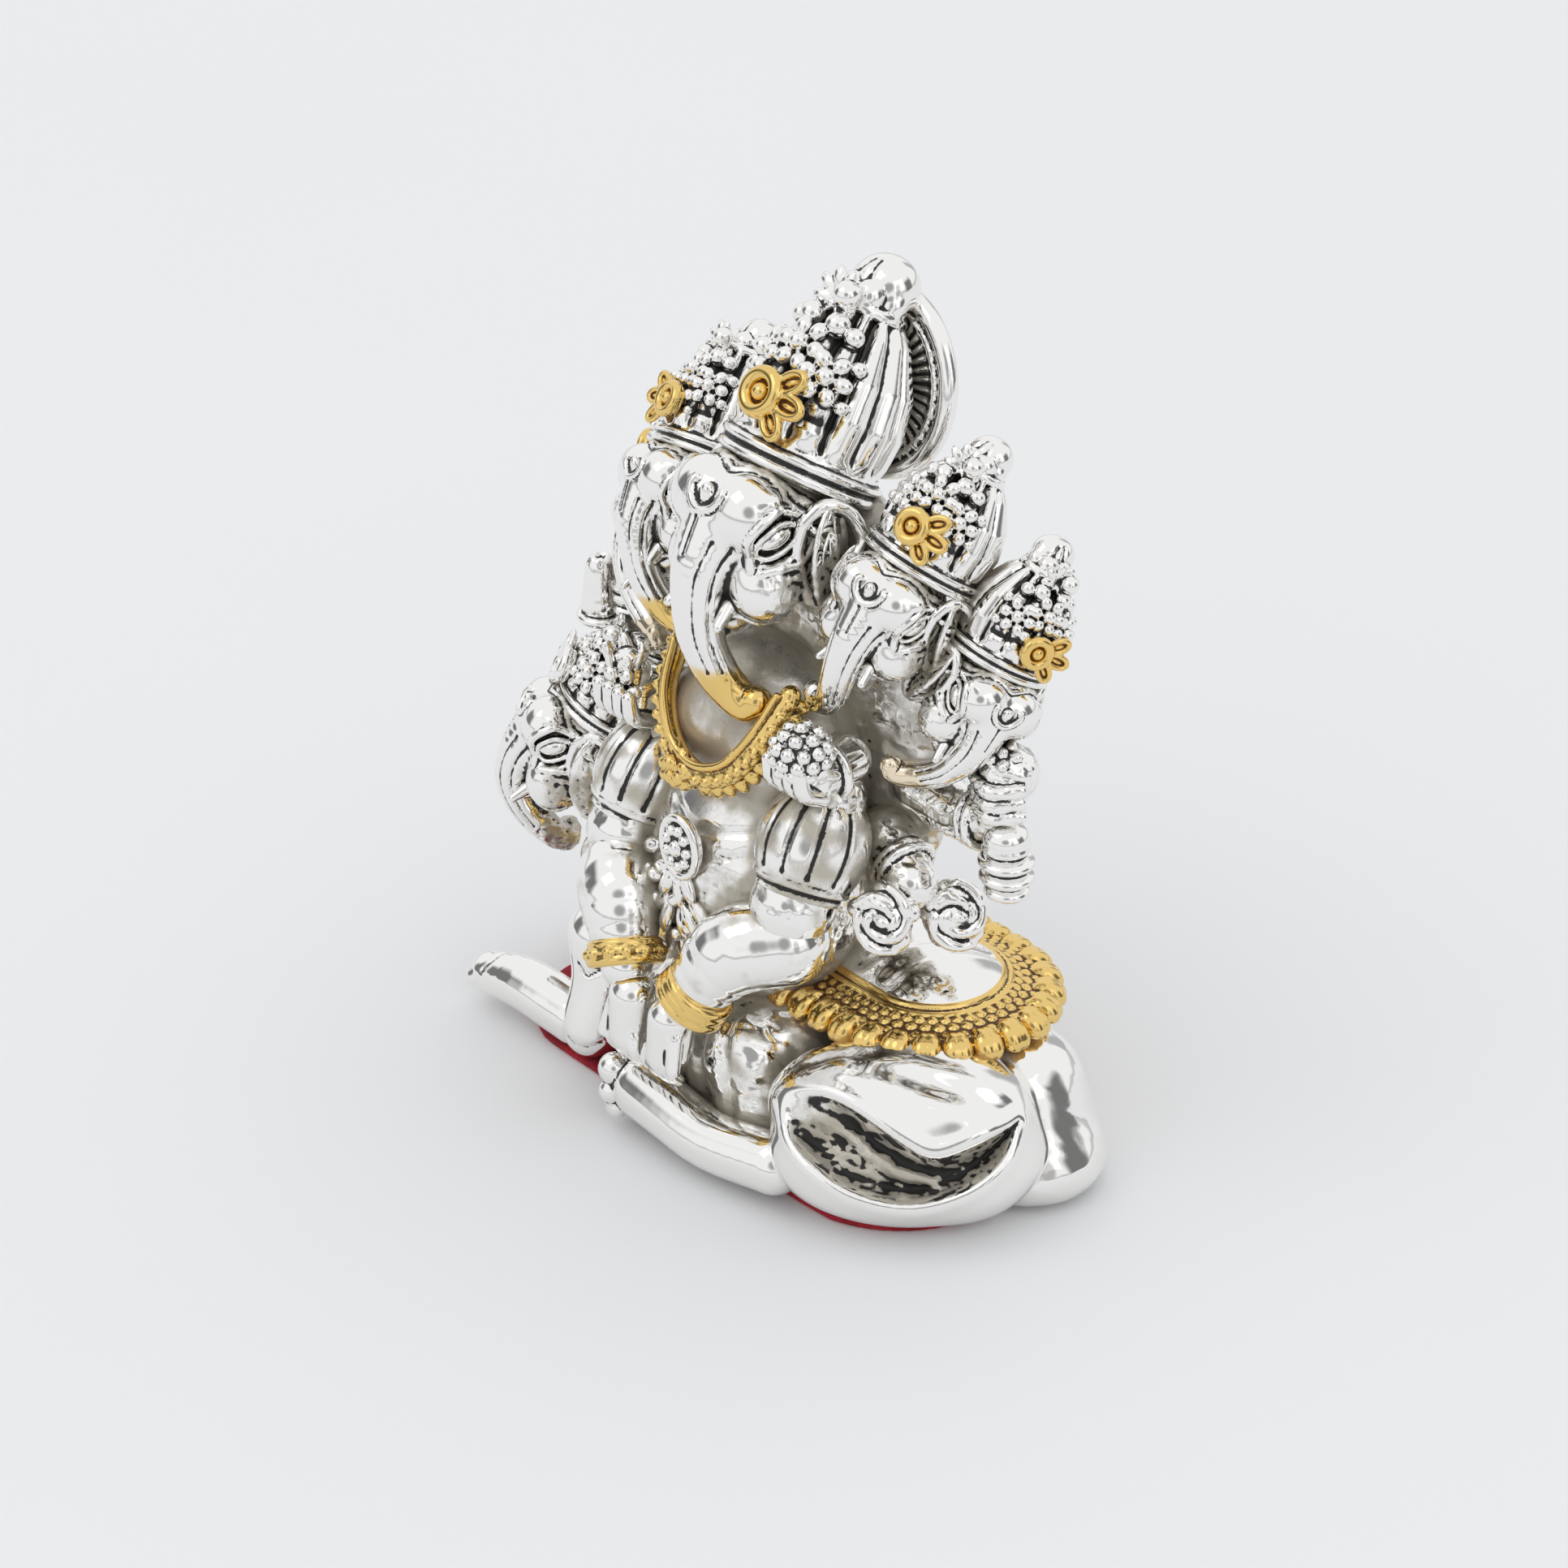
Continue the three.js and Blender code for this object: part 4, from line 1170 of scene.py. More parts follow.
def flower_bunch_form(spot):
    middle = spot.middle
    parts = [ball(middle, (3.2, 3.0, 4.4))]
    parts.append(rosette(spot.around(1.4, -2.9, 0.4), (0.4, -0.9, 0.1), 2.3, 6))
    for k in range(6):
        a = math.radians(60 * k)
        base = middle + (1.6 * math.cos(a), 1.6 * math.sin(a) - 0.6, 1.6)
        tip = middle + (3.0 * math.cos(a + 0.4), 2.6 * math.sin(a + 0.4) - 0.6, 5.6 - 0.5 * (k % 2))
        parts.append(leaf(base, tip, (math.cos(a), math.sin(a), 0.3), 2.0, 0.6))
    for k in range(7):
        a = 2 * math.pi * k / 7
        parts.append(ball(middle + (3.1 * math.cos(a), 2.9 * math.sin(a), -2.6 + 0.4 * (k % 2)), 1.15))
    return fuse(0.12, *parts)


def fruit_form(spot, side):
    """A round fruit with a calyx on top, held by three fingers."""
    radius = spot.size[2] / 2
    parts = [ball(spot.middle, radius)]
    parts.append(rosette(spot.around(side * 0.5, -1.4, radius * 0.82), (side * 0.2, -0.4, 1), 1.7, 5))
    for k in range(3):
        z = -0.4 - 1.75 * k
        parts.append(strand(spot.chain((-side * 2.4, -3.2, z, 0.9),
                                       (side * 1.2, -4.2, z - 0.2, 1.0),
                                       (side * 3.8, -1.6, z + 0.1, 0.85))))
    line = curve(spot.path((-3.9, -2, 1.4), (0, -4.2, 1.5), (3.9, -1.6, 1.5)), 4)
    return rough(lined(fuse(0.2, *parts), [line], 0.35, -0.35), 0.1, 2.2)


def bud_form(spot):
    """A closed bud in four stacked turns."""
    parts = [ball(spot.around(0, 0, 3.0), (2.9, 2.9, 2.2))]
    for k, r in enumerate((2.5, 3.0, 2.9, 2.3)):
        parts.append(ball(spot.around(0.2 * k, -0.1 * k, 1.9 - 1.9 * k), (r + 0.6, r + 0.5, 1.15)))
    return fuse(0.25, *parts)


def pointed_bud_form(spot):
    parts = [ball(spot.around(0, 0, -1.6), (2.6, 2.6, 3.0))]
    for k in range(5):
        a = math.radians(72 * k - 40)
        way = np.array((math.cos(a), math.sin(a), 0))
        base, tip = spot.middle + way * 1.2 + (0, 0, -4.2), spot.middle + way * 1.0 + (0, 0, 5.0)
        parts.append(leaf(base, tip, way, 3.4, 1.2))
    parts.append(ring(spot.around(0, 0, -3.6), (0, 0, 1), 2.6, 0.6))
    return fuse(0.2, *parts)


def rose_form(spot, out):
    """A full rose: rolled petals wound about a heart."""
    z = unit(out)
    x = unit(np.cross((0, 0, 1), z))
    y = np.cross(z, x)
    rx, rz = spot.size[0] / 2, spot.size[2] / 2
    parts = [ball(spot.middle, (rx * 0.86, spot.size[1] / 2 * 0.9, rz * 0.86))]
    parts.append(ball(spot.middle + z * 3.2 + x * 0.3, (1.1, 0.9, 0.8)))
    for i in range(5):
        a = 2 * math.pi * (i + 0.3) / 5
        way = x * math.cos(a) + y * math.sin(a)
        petal = (1.9, 1.7, 1.5 + 0.3 * math.sin(2 * i))
        parts.append(ball(spot.middle + way * rx * 0.66 + z * 1.2, petal))
    for row, (reach, count, thick) in enumerate(((1.9, 4, 0.5), (3.1, 5, 0.6))):
        for i in range(count):
            start = 2 * math.pi * (i + 0.5 * row) / count
            line = []
            for t in np.linspace(-0.62, 0.62, 5):
                a = start + t * 2 * math.pi / count
                lift = 3.3 - 0.45 * row - 0.9 * abs(t)
                bend = reach * (1 + 0.16 * math.sin(2.3 * i + row)) + 0.9 * t
                point = spot.middle + (x * math.cos(a) + y * math.sin(a)) * bend
                point = point + z * (lift + 0.5 * math.sin(1.9 * i))
                line.append((*point, thick * (1.25 - 0.5 * abs(t))))
            parts.append(strand(line, 2))
    return fuse(0.35, *parts)


# ---- Jewellery ----------------------------------------------------------------------------
def necklace_form(spot):
    """A collar of a rolled inner rim, a beaded band and a scalloped edge, with a rosette."""
    points = [(-10, -6.32, 63), (-8.8, -10.0, 57.4), (-5.4, -11.9, 52.4), (0, -12.72, 50.5)]
    points += [(-x, y, z) for x, y, z in reversed(points[:3])]
    path = curve(np.array(points) - (0, -9.76, 56.3) + spot.middle, 6)
    parts = [strand([(*q, 1.3) for q in path], 1)]
    middle = spot.around(0, 6, 6)
    rim, edge, petals, beads = [], [], [], []
    reach = np.concatenate([[0], np.cumsum(np.linalg.norm(np.diff(path, axis=0), axis=1))])
    for way in np.arange(0.8, reach[-1] - 0.4, 1.75):
        at = np.array([np.interp(way, reach, path[:, k]) for k in range(3)])
        ahead = np.array([np.interp(way + 0.3, reach, path[:, k]) for k in range(3)])
        tangent = unit(ahead - at)
        out = unit((at - middle) * (0.45, 1, 0.2))
        down = np.cross(tangent, out)
        down = down if down @ (at - spot.around(0, 0, 7)) > 0 else -down
        turn = np.column_stack([tangent, down, np.cross(tangent, down)])
        rim.append((*(at - down * 1.7 + out * 0.5), 0.5))
        petals.append(ball(at + down * 1.75 + out * 0.15, (0.95, 1.35, 0.8), turn))
        beads.append(ball(at + down * 0.1 + out * 1.25, 0.66))
        edge.append((*(at + down * 0.75 + out * 0.95), 0.32))
    parts += [strand(rim, 2), strand(edge, 2), *petals, *beads]
    parts.append(rosette(spot.around(-3.4, -3.6, -5.6), (-0.1, -0.95, 0.2), 2.2, 7))
    parts += [ball(spot.around(-3.4 + 1.7 * k, -3.4, -8.3 + 0.3 * abs(k)), 0.95) for k in (-1, 0, 1)]
    return fuse(0.14, *parts)


def medallion_form(spot):
    """An oval plate in a rolled rim, set with nine beads round a tenth."""
    middle = spot.middle
    parts = [ball(middle, (3.2, 1.3, 4.0))]
    edge = [(*(middle + np.array((3.1 * math.cos(a), -0.7, 4.0 * math.sin(a)))), 0.55)
            for a in np.linspace(0, 2 * math.pi, 13)]
    parts.append(strand(edge, 2))
    for i in range(9):
        a = 2 * math.pi * i / 9
        parts.append(ball(middle + np.array((1.85 * math.cos(a), -1.2, 2.5 * math.sin(a))), 0.68))
    parts.append(ball(middle + np.array((0, -1.3, 0)), (0.9, 0.9, 1.1)))
    return fuse(0.1, *parts)


def garland_form(spot, belly):
    """Sprays of leaves hanging down the belly, from the medallion to the lap."""
    parts = []
    top = spot.around(0.5, 0, 7.6)
    sprays = [
        ((-0.2, 0.2), (-4.8, -2.4)), ((-0.2, 0.2), (-2.6, -4.6)), ((0.2, 0), (0.6, -5.2)),
        ((0.4, 0.2), (3.4, -3.6)),
        # the lower tiers, and the sprays to either side
        ((-1.4, -4.4), (-5.4, -8.0)), ((-0.8, -4.8), (-2.4, -10.0)), ((0.6, -5.0), (1.8, -10.0)),
        ((1.2, -4.4), (4.2, -8.4)), ((-1.4, -9.4), (-3.8, -14.0)), ((0.0, -9.6), (0.2, -15.2)),
        ((1.2, -9.2), (3.4, -13.6)), ((-3.4, -2.6), (-8.0, -5.0)), ((-4.2, -7.4), (-8.6, -10.8)),
        ((2.4, -3.2), (6.2, -6.4)), ((-5.4, 0.6), (-9.4, -0.6)), ((-6.4, -4.6), (-11.0, -8.0)),
    ]
    for (x0, z0), (x1, z1) in sprays:
        ends = drape(belly, [top + (x0, -0.5, z0), top + (x1, -0.5, z1)], 0.5)
        _, out = slope(belly, ends)
        parts.append(leaf(ends[0], ends[1] + unit(out[1]) * 0.4, out.mean(0), 2.1, 0.75))
    for x, z in ((-0.1, -4.6), (-0.3, -9.4), (-4.2, -6.2), (2.0, -7.4), (-7.2, -3.0)):
        parts.append(ball(drape(belly, [top + (x, -0.5, z)], 0.7)[0], 0.85))
    return fuse(0.1, *parts)


# ---- Finishes -----------------------------------------------------------------------------
def node_at(tree, kind, x, y, **settings):
    made = tree.nodes.new(kind)
    made.location = (x, y)
    for name, value in settings.items():
        setattr(made, name, value)
    return made


def maths(tree, what, x, y, a, b=None, c=None, clamp=False):
    made = node_at(tree, "ShaderNodeMath", x, y, operation=what, use_clamp=clamp)
    for socket, value in zip(made.inputs, (a, b, c)):
        if value is None:
            continue
        if isinstance(value, (int, float)):
            socket.default_value = value
        else:
            tree.links.new(value, socket)
    return made.outputs[0]


def between(tree, x, y, value, low, high):
    made = node_at(tree, "ShaderNodeMapRange", x, y, interpolation_type="SMOOTHSTEP")
    tree.links.new(value, made.inputs["Value"])
    made.inputs["From Min"].default_value = low
    made.inputs["From Max"].default_value = high
    return made.outputs["Result"]


def mixed(tree, x, y, share, a, b):
    made = node_at(tree, "ShaderNodeMix", x, y, data_type="RGBA")
    tree.links.new(share, made.inputs[0])
    for socket, value in ((made.inputs[6], a), (made.inputs[7], b)):
        if isinstance(value, tuple):
            socket.default_value = value
        else:
            tree.links.new(value, socket)
    return made.outputs[2]


def relief_group():
    """Plating worn on the heights, with black patina in the grooves, and dull dust and painted shade in
    the hollows.
    """
    name = "Worn plating"
    if name in bpy.data.node_groups:
        return bpy.data.node_groups[name]
    tree = bpy.data.node_groups.new(name, "ShaderNodeTree")
    for way, kind, labels in (
        ("INPUT", "NodeSocketColor", ("Metal", "Tip Metal", "Patina", "Dust and shade")),
        ("INPUT", "NodeSocketFloat", ("Patina Amount", "Dust Amount")),
        ("OUTPUT", "NodeSocketColor", ("Color",)),
        ("OUTPUT", "NodeSocketFloat", ("Roughness", "Metallic", "Height")),
    ):
        for label in labels:
            tree.interface.new_socket(name=label, in_out=way, socket_type=kind)
    come = node_at(tree, "NodeGroupInput", -1400, 0)
    go = node_at(tree, "NodeGroupOutput", 900, 0)
    relief = node_at(tree, "ShaderNodeAttribute", -1400, -300, attribute_name="Relief")
    parts = node_at(tree, "ShaderNodeSeparateColor", -1200, -300)
    tree.links.new(relief.outputs["Color"], parts.inputs[0])
    groove, hollow, gilt = parts.outputs[:3]
    spot = node_at(tree, "ShaderNodeTexCoord", -1400, -600).outputs["Object"]

    def noise(scale, detail, y):
        made = node_at(tree, "ShaderNodeTexNoise", -1200, y)
        made.inputs["Scale"].default_value = scale
        made.inputs["Detail"].default_value = detail
        made.inputs["Roughness"].default_value = 0.6
        tree.links.new(spot, made.inputs["Vector"])
        return made.outputs["Fac"]

    blotch = noise(420, 5, -600)
    speck = noise(1600, 3, -850)
    swirl = noise(170, 2, -1100)
    # black patina: in every groove, and further out of it where the blotches are strong; the hollow
    # mask, which is partly painted shade, spreads it too
    a = maths(tree, "MULTIPLY_ADD", -900, 0, blotch, 0.7, -0.35)
    b = maths(tree, "MULTIPLY_ADD", -900, -150, speck, 0.3, -0.15)
    c = maths(tree, "MULTIPLY_ADD", -700, -150, hollow, 0.3, b)
    level = maths(tree, "ADD", -500, 0, maths(tree, "ADD", -700, 0, groove, a), c)
    level = maths(tree, "MULTIPLY", -350, 0, level, come.outputs["Patina Amount"])
    black = between(tree, -200, 0, level, 0.44, 0.68)
    # dust and painted shade: in the broad hollows, blotched
    d = maths(tree, "MULTIPLY_ADD", -900, -350, swirl, 0.7, -0.35)
    e = maths(tree, "MULTIPLY_ADD", -700, -350, blotch, 0.7, -0.35)
    f = maths(tree, "ADD", -500, -350, maths(tree, "ADD", -600, -350, d, e), hollow)
    f = maths(tree, "MULTIPLY_ADD", -420, -400, groove, 0.25, f)
    f = maths(tree, "MULTIPLY", -350, -350, f, come.outputs["Dust Amount"])
    dust_and_shade = between(tree, -200, -350, f, 0.18, 0.7)
    metal = mixed(tree, -200, 300, gilt, come.outputs["Metal"], come.outputs["Tip Metal"])
    # the dust colour, which also carries the painted shade of the hollows, laid over the metal
    shade = maths(tree, "MULTIPLY", 0, -200, dust_and_shade, 0.8)
    dusted_and_shaded = mixed(tree, 200, 200, shade, metal, come.outputs["Dust and shade"])
    done = mixed(tree, 450, 200, black, dusted_and_shaded, come.outputs["Patina"])
    tree.links.new(done, go.inputs["Color"])
    rough_metal = maths(tree, "MULTIPLY_ADD", 0, -500, blotch, 0.07, 0.035)
    rough_dust = maths(tree, "MULTIPLY_ADD", 200, -500, dust_and_shade, 0.3, rough_metal)
    rough_all = maths(tree, "MULTIPLY_ADD", 400, -500, black, 0.22, rough_dust, clamp=True)
    tree.links.new(rough_all, go.inputs["Roughness"])
    dull = maths(tree, "MULTIPLY", 200, -700, dust_and_shade, 0.45)
    dull = maths(tree, "MAXIMUM", 400, -700, dull, maths(tree, "MULTIPLY", 300, -800, black, 0.85))
    tree.links.new(maths(tree, "SUBTRACT", 600, -700, 1.0, dull), go.inputs["Metallic"])
    share = maths(tree, "MULTIPLY_ADD", 0, -950, dust_and_shade, 0.9, 0.06)
    pits = maths(tree, "MULTIPLY", 200, -950, speck, share)
    tree.links.new(maths(tree, "ADD", 450, -950, pits, maths(tree, "MULTIPLY", 300, -1050, swirl, 0.5)),
                   go.inputs["Height"])
    return tree


def plated(name, slot, colours, amounts):
    material = bpy.data.materials.new(name)
    material.use_nodes = True
    material["slot"] = slot
    tree = material.node_tree
    shader = tree.nodes["Principled BSDF"]
    worn = node_at(tree, "ShaderNodeGroup", -500, 0)
    worn.node_tree = relief_group()
    for label, value in (*colours.items(), *amounts.items()):
        worn.inputs[label].default_value = value
    tree.links.new(worn.outputs["Color"], shader.inputs["Base Color"])
    for label in ("Roughness", "Metallic"):
        tree.links.new(worn.outputs[label], shader.inputs[label])
    raised = node_at(tree, "ShaderNodeBump", -200, -300)
    raised.inputs["Strength"].default_value = 0.5
    raised.inputs["Distance"].default_value = 0.00012
    tree.links.new(worn.outputs["Height"], raised.inputs["Height"])
    tree.links.new(raised.outputs["Normal"], shader.inputs["Normal"])
    return material


def opaque(colour):
    return (*colour, 1.0)


def finish(name):
    """The idol's finishes, each made when it is first asked for."""
    found = bpy.data.materials.get(name)
    if found is not None:
        return found
    colours = bpy.context.scene.idol_colours
    if name == "Silver plate":
        return plated(
            name, "silver_plate",
            {"Metal": opaque(colours.silver), "Tip Metal": opaque(colours.gold),
             "Patina": opaque(colours.patina), "Dust and shade": opaque(colours.dust_and_shade)},
            {"Patina Amount": colours.patina_amount, "Dust Amount": colours.dust_and_shade_amount},
        )
    if name == "Gold lacquer":
        return plated(
            name, "gold_lacquer",
            {"Metal": opaque(colours.gold), "Tip Metal": opaque(colours.gold),
             "Patina": opaque(colours.gold_shadow), "Dust and shade": opaque(colours.gold_dust_and_shade)},
            {"Patina Amount": colours.patina_amount * 0.85, "Dust Amount": colours.dust_and_shade_amount * 1.1},
        )
    return velvet_finish(name, opaque(colours.velvet))


def velvet_finish(name, colour):
    material = bpy.data.materials.new(name)
    material.use_nodes = True
    material["slot"] = "red_velvet"
    tree = material.node_tree
    shader = tree.nodes["Principled BSDF"]
    spot = node_at(tree, "ShaderNodeTexCoord", -1000, 0).outputs["Object"]
    pile = node_at(tree, "ShaderNodeTexNoise", -800, 0)
    pile.inputs["Scale"].default_value = 2600
    pile.inputs["Detail"].default_value = 3
    tree.links.new(spot, pile.inputs["Vector"])
    nap = node_at(tree, "ShaderNodeTexNoise", -800, -300)
    nap.inputs["Scale"].default_value = 240
    tree.links.new(spot, nap.inputs["Vector"])
    share = maths(tree, "MULTIPLY_ADD", -550, -150, pile.outputs["Fac"], 0.5,
                  maths(tree, "MULTIPLY", -650, -300, nap.outputs["Fac"], 0.5))
    dark = tuple(c * 0.45 for c in colour[:3]) + (1.0,)
    tree.links.new(mixed(tree, -350, 0, between(tree, -480, -50, share, 0.3, 0.7), dark, colour),
                   shader.inputs["Base Color"])
    tree.links.new(maths(tree, "MULTIPLY_ADD", -350, -250, pile.outputs["Fac"], 0.15, 0.8),
                   shader.inputs["Roughness"])
    shader.inputs["Sheen Weight"].default_value = 0.6
    shader.inputs["Sheen Roughness"].default_value = 0.4
    shader.inputs["Sheen Tint"].default_value = colour
    raised = node_at(tree, "ShaderNodeBump", -200, -400)
    raised.inputs["Strength"].default_value = 0.8
    raised.inputs["Distance"].default_value = 0.0002
    tree.links.new(pile.outputs["Fac"], raised.inputs["Height"])
    tree.links.new(raised.outputs["Normal"], shader.inputs["Normal"])
    return material


# ---- Hollows between the pieces -----------------------------------------------------------
HOLLOW_STEP = 0.8
SOFTEN = 3  # cells of that grid to either side
HOLLOW_MARGIN = 6  # the grid's margin round the idol
LOOK_OUT = 1.5  # how far off a corner the room round it is judged
OPEN_SHARE = 0.34  # how full the space round an open corner is; at twice this it is a hollow


def box_blur(grid, reach):
    for axis in range(3):
        grid = np.moveaxis(grid, axis, 0)
        before, after = np.repeat(grid[:1], reach + 1, 0), np.repeat(grid[-1:], reach, 0)
        padded = np.concatenate([before, grid, after])
        total = np.cumsum(padded, axis=0)
        grid = (total[2 * reach + 1 :] - total[: -2 * reach - 1]) / (2 * reach + 1)
        grid = np.moveaxis(grid, 0, axis)
    return grid


def sample(grid, low, step, points):
    """A grid's values at points, blended between its corners."""
    q = np.clip((points - low) / step, 0, np.array(grid.shape) - 1.001)
    base = q.astype(int)
    t = q - base
    value = np.zeros(len(points))
    for c in CORNERS:
        weight = np.prod(np.where(c, t, 1 - t), axis=1)
        value += weight * grid[tuple((base + c).T)]
    return value


def shade_hollows():
    """Works out how shut in each corner of each piece is by the whole idol, for the dust and the painted
    shade in the hollows.
    """
    low = np.array(FRAME_LOW) / MM - HOLLOW_MARGIN
    high = np.array(FRAME_HIGH) / MM + HOLLOW_MARGIN
    count = np.ceil((high - low) / HOLLOW_STEP).astype(int) + 1
    nearest = np.full(count, 4.0, np.float32)
    for _, form, points, _ in MADE:
        first = np.maximum(((points.min(0) - LOOK_OUT - low) / HOLLOW_STEP).astype(int), 0)
        last = np.minimum(((points.max(0) + LOOK_OUT - low) / HOLLOW_STEP).astype(int) + 1, count - 1)
        inside = np.indices(tuple(last - first + 1)).reshape(3, -1).T + first
        d = form(single(low + inside * HOLLOW_STEP))
        where = tuple(inside.T)
        nearest[where] = np.minimum(nearest[where], d)
    full = np.clip(0.5 - nearest / (2 * HOLLOW_STEP), 0, 1)
    near = box_blur(box_blur(full, SOFTEN), SOFTEN)
    for made, _, points, faces in MADE:
        normals = normals_of(points, faces)
        shut = sample(near, low, HOLLOW_STEP, points + normals * LOOK_OUT)
        mask = made.data.color_attributes.get("Relief")
        values = np.zeros(len(points) * 4, np.float32)
        mask.data.foreach_get("color", values)
        values = values.reshape(-1, 4)
        # the painted shade of the hollows joins the dust in the green channel
        values[:, 1] = np.clip(values[:, 1] + np.clip((shut - OPEN_SHARE) / OPEN_SHARE, 0, 1), 0, 1)
        mask.data.foreach_set("color", values.ravel())


# ---- Sizes and colours that a user would change --------------------------------------------
class IdolSizes(bpy.types.PropertyGroup):
    detail: FloatProperty(
        name="Detail", description="Distance between corners of the sculpted skins",
        default=0.00034, min=0.0002, max=0.001, unit="LENGTH", precision=5,
    )
    pad_pile: FloatProperty(
        name="Pile", description="How far the velvet's pile rounds the pad's edge",
        default=0.0003, min=0.0, max=0.0005, unit="LENGTH", precision=5,
    )
    lens: FloatProperty(
        name="Lens", description="Focal length of the camera in millimetres",
        default=150.0, min=50.0, max=300.0,
    )


def colour_of(name, description, default):
    return FloatVectorProperty(
        name=name, description=description, subtype="COLOR", size=3, min=0, max=1, default=default)


def share_of(name, description):
    return FloatProperty(
        name=name, description=description, default=1.0, min=0, max=3, subtype="FACTOR")


class IdolColours(bpy.types.PropertyGroup):
    silver: colour_of("Silver", "Plating on the heights", (0.93, 0.92, 0.9))
    gold: colour_of("Gold", "Gold lacquer on the heights", (0.86, 0.61, 0.22))
    # dark brown for dust and painted shade in the gold lacquer's hollows
    gold_dust_and_shade: colour_of("Gold hollows", "Gold lacquer in the hollows", (0.5, 0.25, 0.05))
    gold_shadow: colour_of("Gold shadow", "Gold lacquer in the grooves", (0.09, 0.04, 0.012))
    patina: colour_of("Patina", "Black in the grooves", (0.016, 0.015, 0.014))
    # dull grey for dust and painted shade in the hollows
    dust_and_shade: colour_of("Dust and shade", "Dull grey in the hollows", (0.43, 0.385, 0.3))
    velvet: colour_of("Velvet", "The pad", (0.42, 0.01, 0.025))
    floor: colour_of("Floor", "The plain floor", (0.855, 0.862, 0.87))
    patina_amount: share_of("Patina", "How far the black spreads")
    # how far the dull grey of dust and painted shade spreads
    dust_and_shade_amount: share_of("Dust and shade", "How far the dull grey spreads")


def detail():
    return bpy.context.scene.idol_sizes.detail / MM


# ---- Operators ----------------------------------------------------------------------------
class IdolMaker:
    bl_options = {"REGISTER"}

    def execute(self, context):
        self.make(finish("Silver plate"), finish("Gold lacquer"))
        return {"FINISHED"}


class IDOL_OT_heads(IdolMaker, bpy.types.Operator):
    """Sculpts the six elephant heads"""

    bl_idname = "idol.heads"
    bl_label = "Heads"

    def make(self, silver, gold):
        add_heads(silver)


class IDOL_OT_crowns(IdolMaker, bpy.types.Operator):
    """Sculpts the pleated crowns and the halo behind the middle one"""

    bl_idname = "idol.crowns"
    bl_label = "Crowns and halo"

    def make(self, silver, gold):
        add_crowns(silver)
        sculpt("halo", halo_form(Spot("halo")), silver, detail())


class IDOL_OT_crown_flowers(IdolMaker, bpy.types.Operator):
    """Sculpts the flower on the front of each crown"""

    bl_idname = "idol.crown_flowers"
    bl_label = "Crown flowers"

    def make(self, silver, gold):
        add_flowers(silver, gold)


class IDOL_OT_body(IdolMaker, bpy.types.Operator):
    """Sculpts the torso and the back"""

    bl_idname = "idol.body"
    bl_label = "Torso and back"

    def make(self, silver, gold):
        sculpt("torso", torso_form(Spot("torso")), silver, detail() * 1.1, margin=2.6)
        sculpt("back", back_form(Spot("back")), silver, detail() * 1.2, margin=3)


class IDOL_OT_seat(IdolMaker, bpy.types.Operator):
    """Sculpts the seat robe, the hip cloth and its beaded brim"""

    bl_idname = "idol.seat"
    bl_label = "Seat and brim"

    def make(self, silver, gold):
        sculpt("seat_robe", seat_form(Spot("seat_robe")), silver, detail() * 1.25)
        sculpt("hip_cloth", hip_form(Spot("hip_cloth")), silver, detail() * 1.2)
        sculpt("beaded_brim", brim_form(Spot("beaded_brim")), gold, detail() * 0.85, margin=3.4)


class IDOL_OT_legs(IdolMaker, bpy.types.Operator):
    """Sculpts the legs, the feet and the cloth on the lap"""

    bl_idname = "idol.legs"
    bl_label = "Legs"

    def make(self, silver, gold):
        forms = (
            ("left_leg", left_leg_form), ("left_foot", left_foot_form), ("lap_cloth", lap_form),
            ("right_shin", shin_form), ("right_thigh", thigh_form), ("right_foot", right_foot_form),
        )
        for node, form in forms:
            sculpt(node, form(Spot(node)), silver, detail(), margin=2.4)


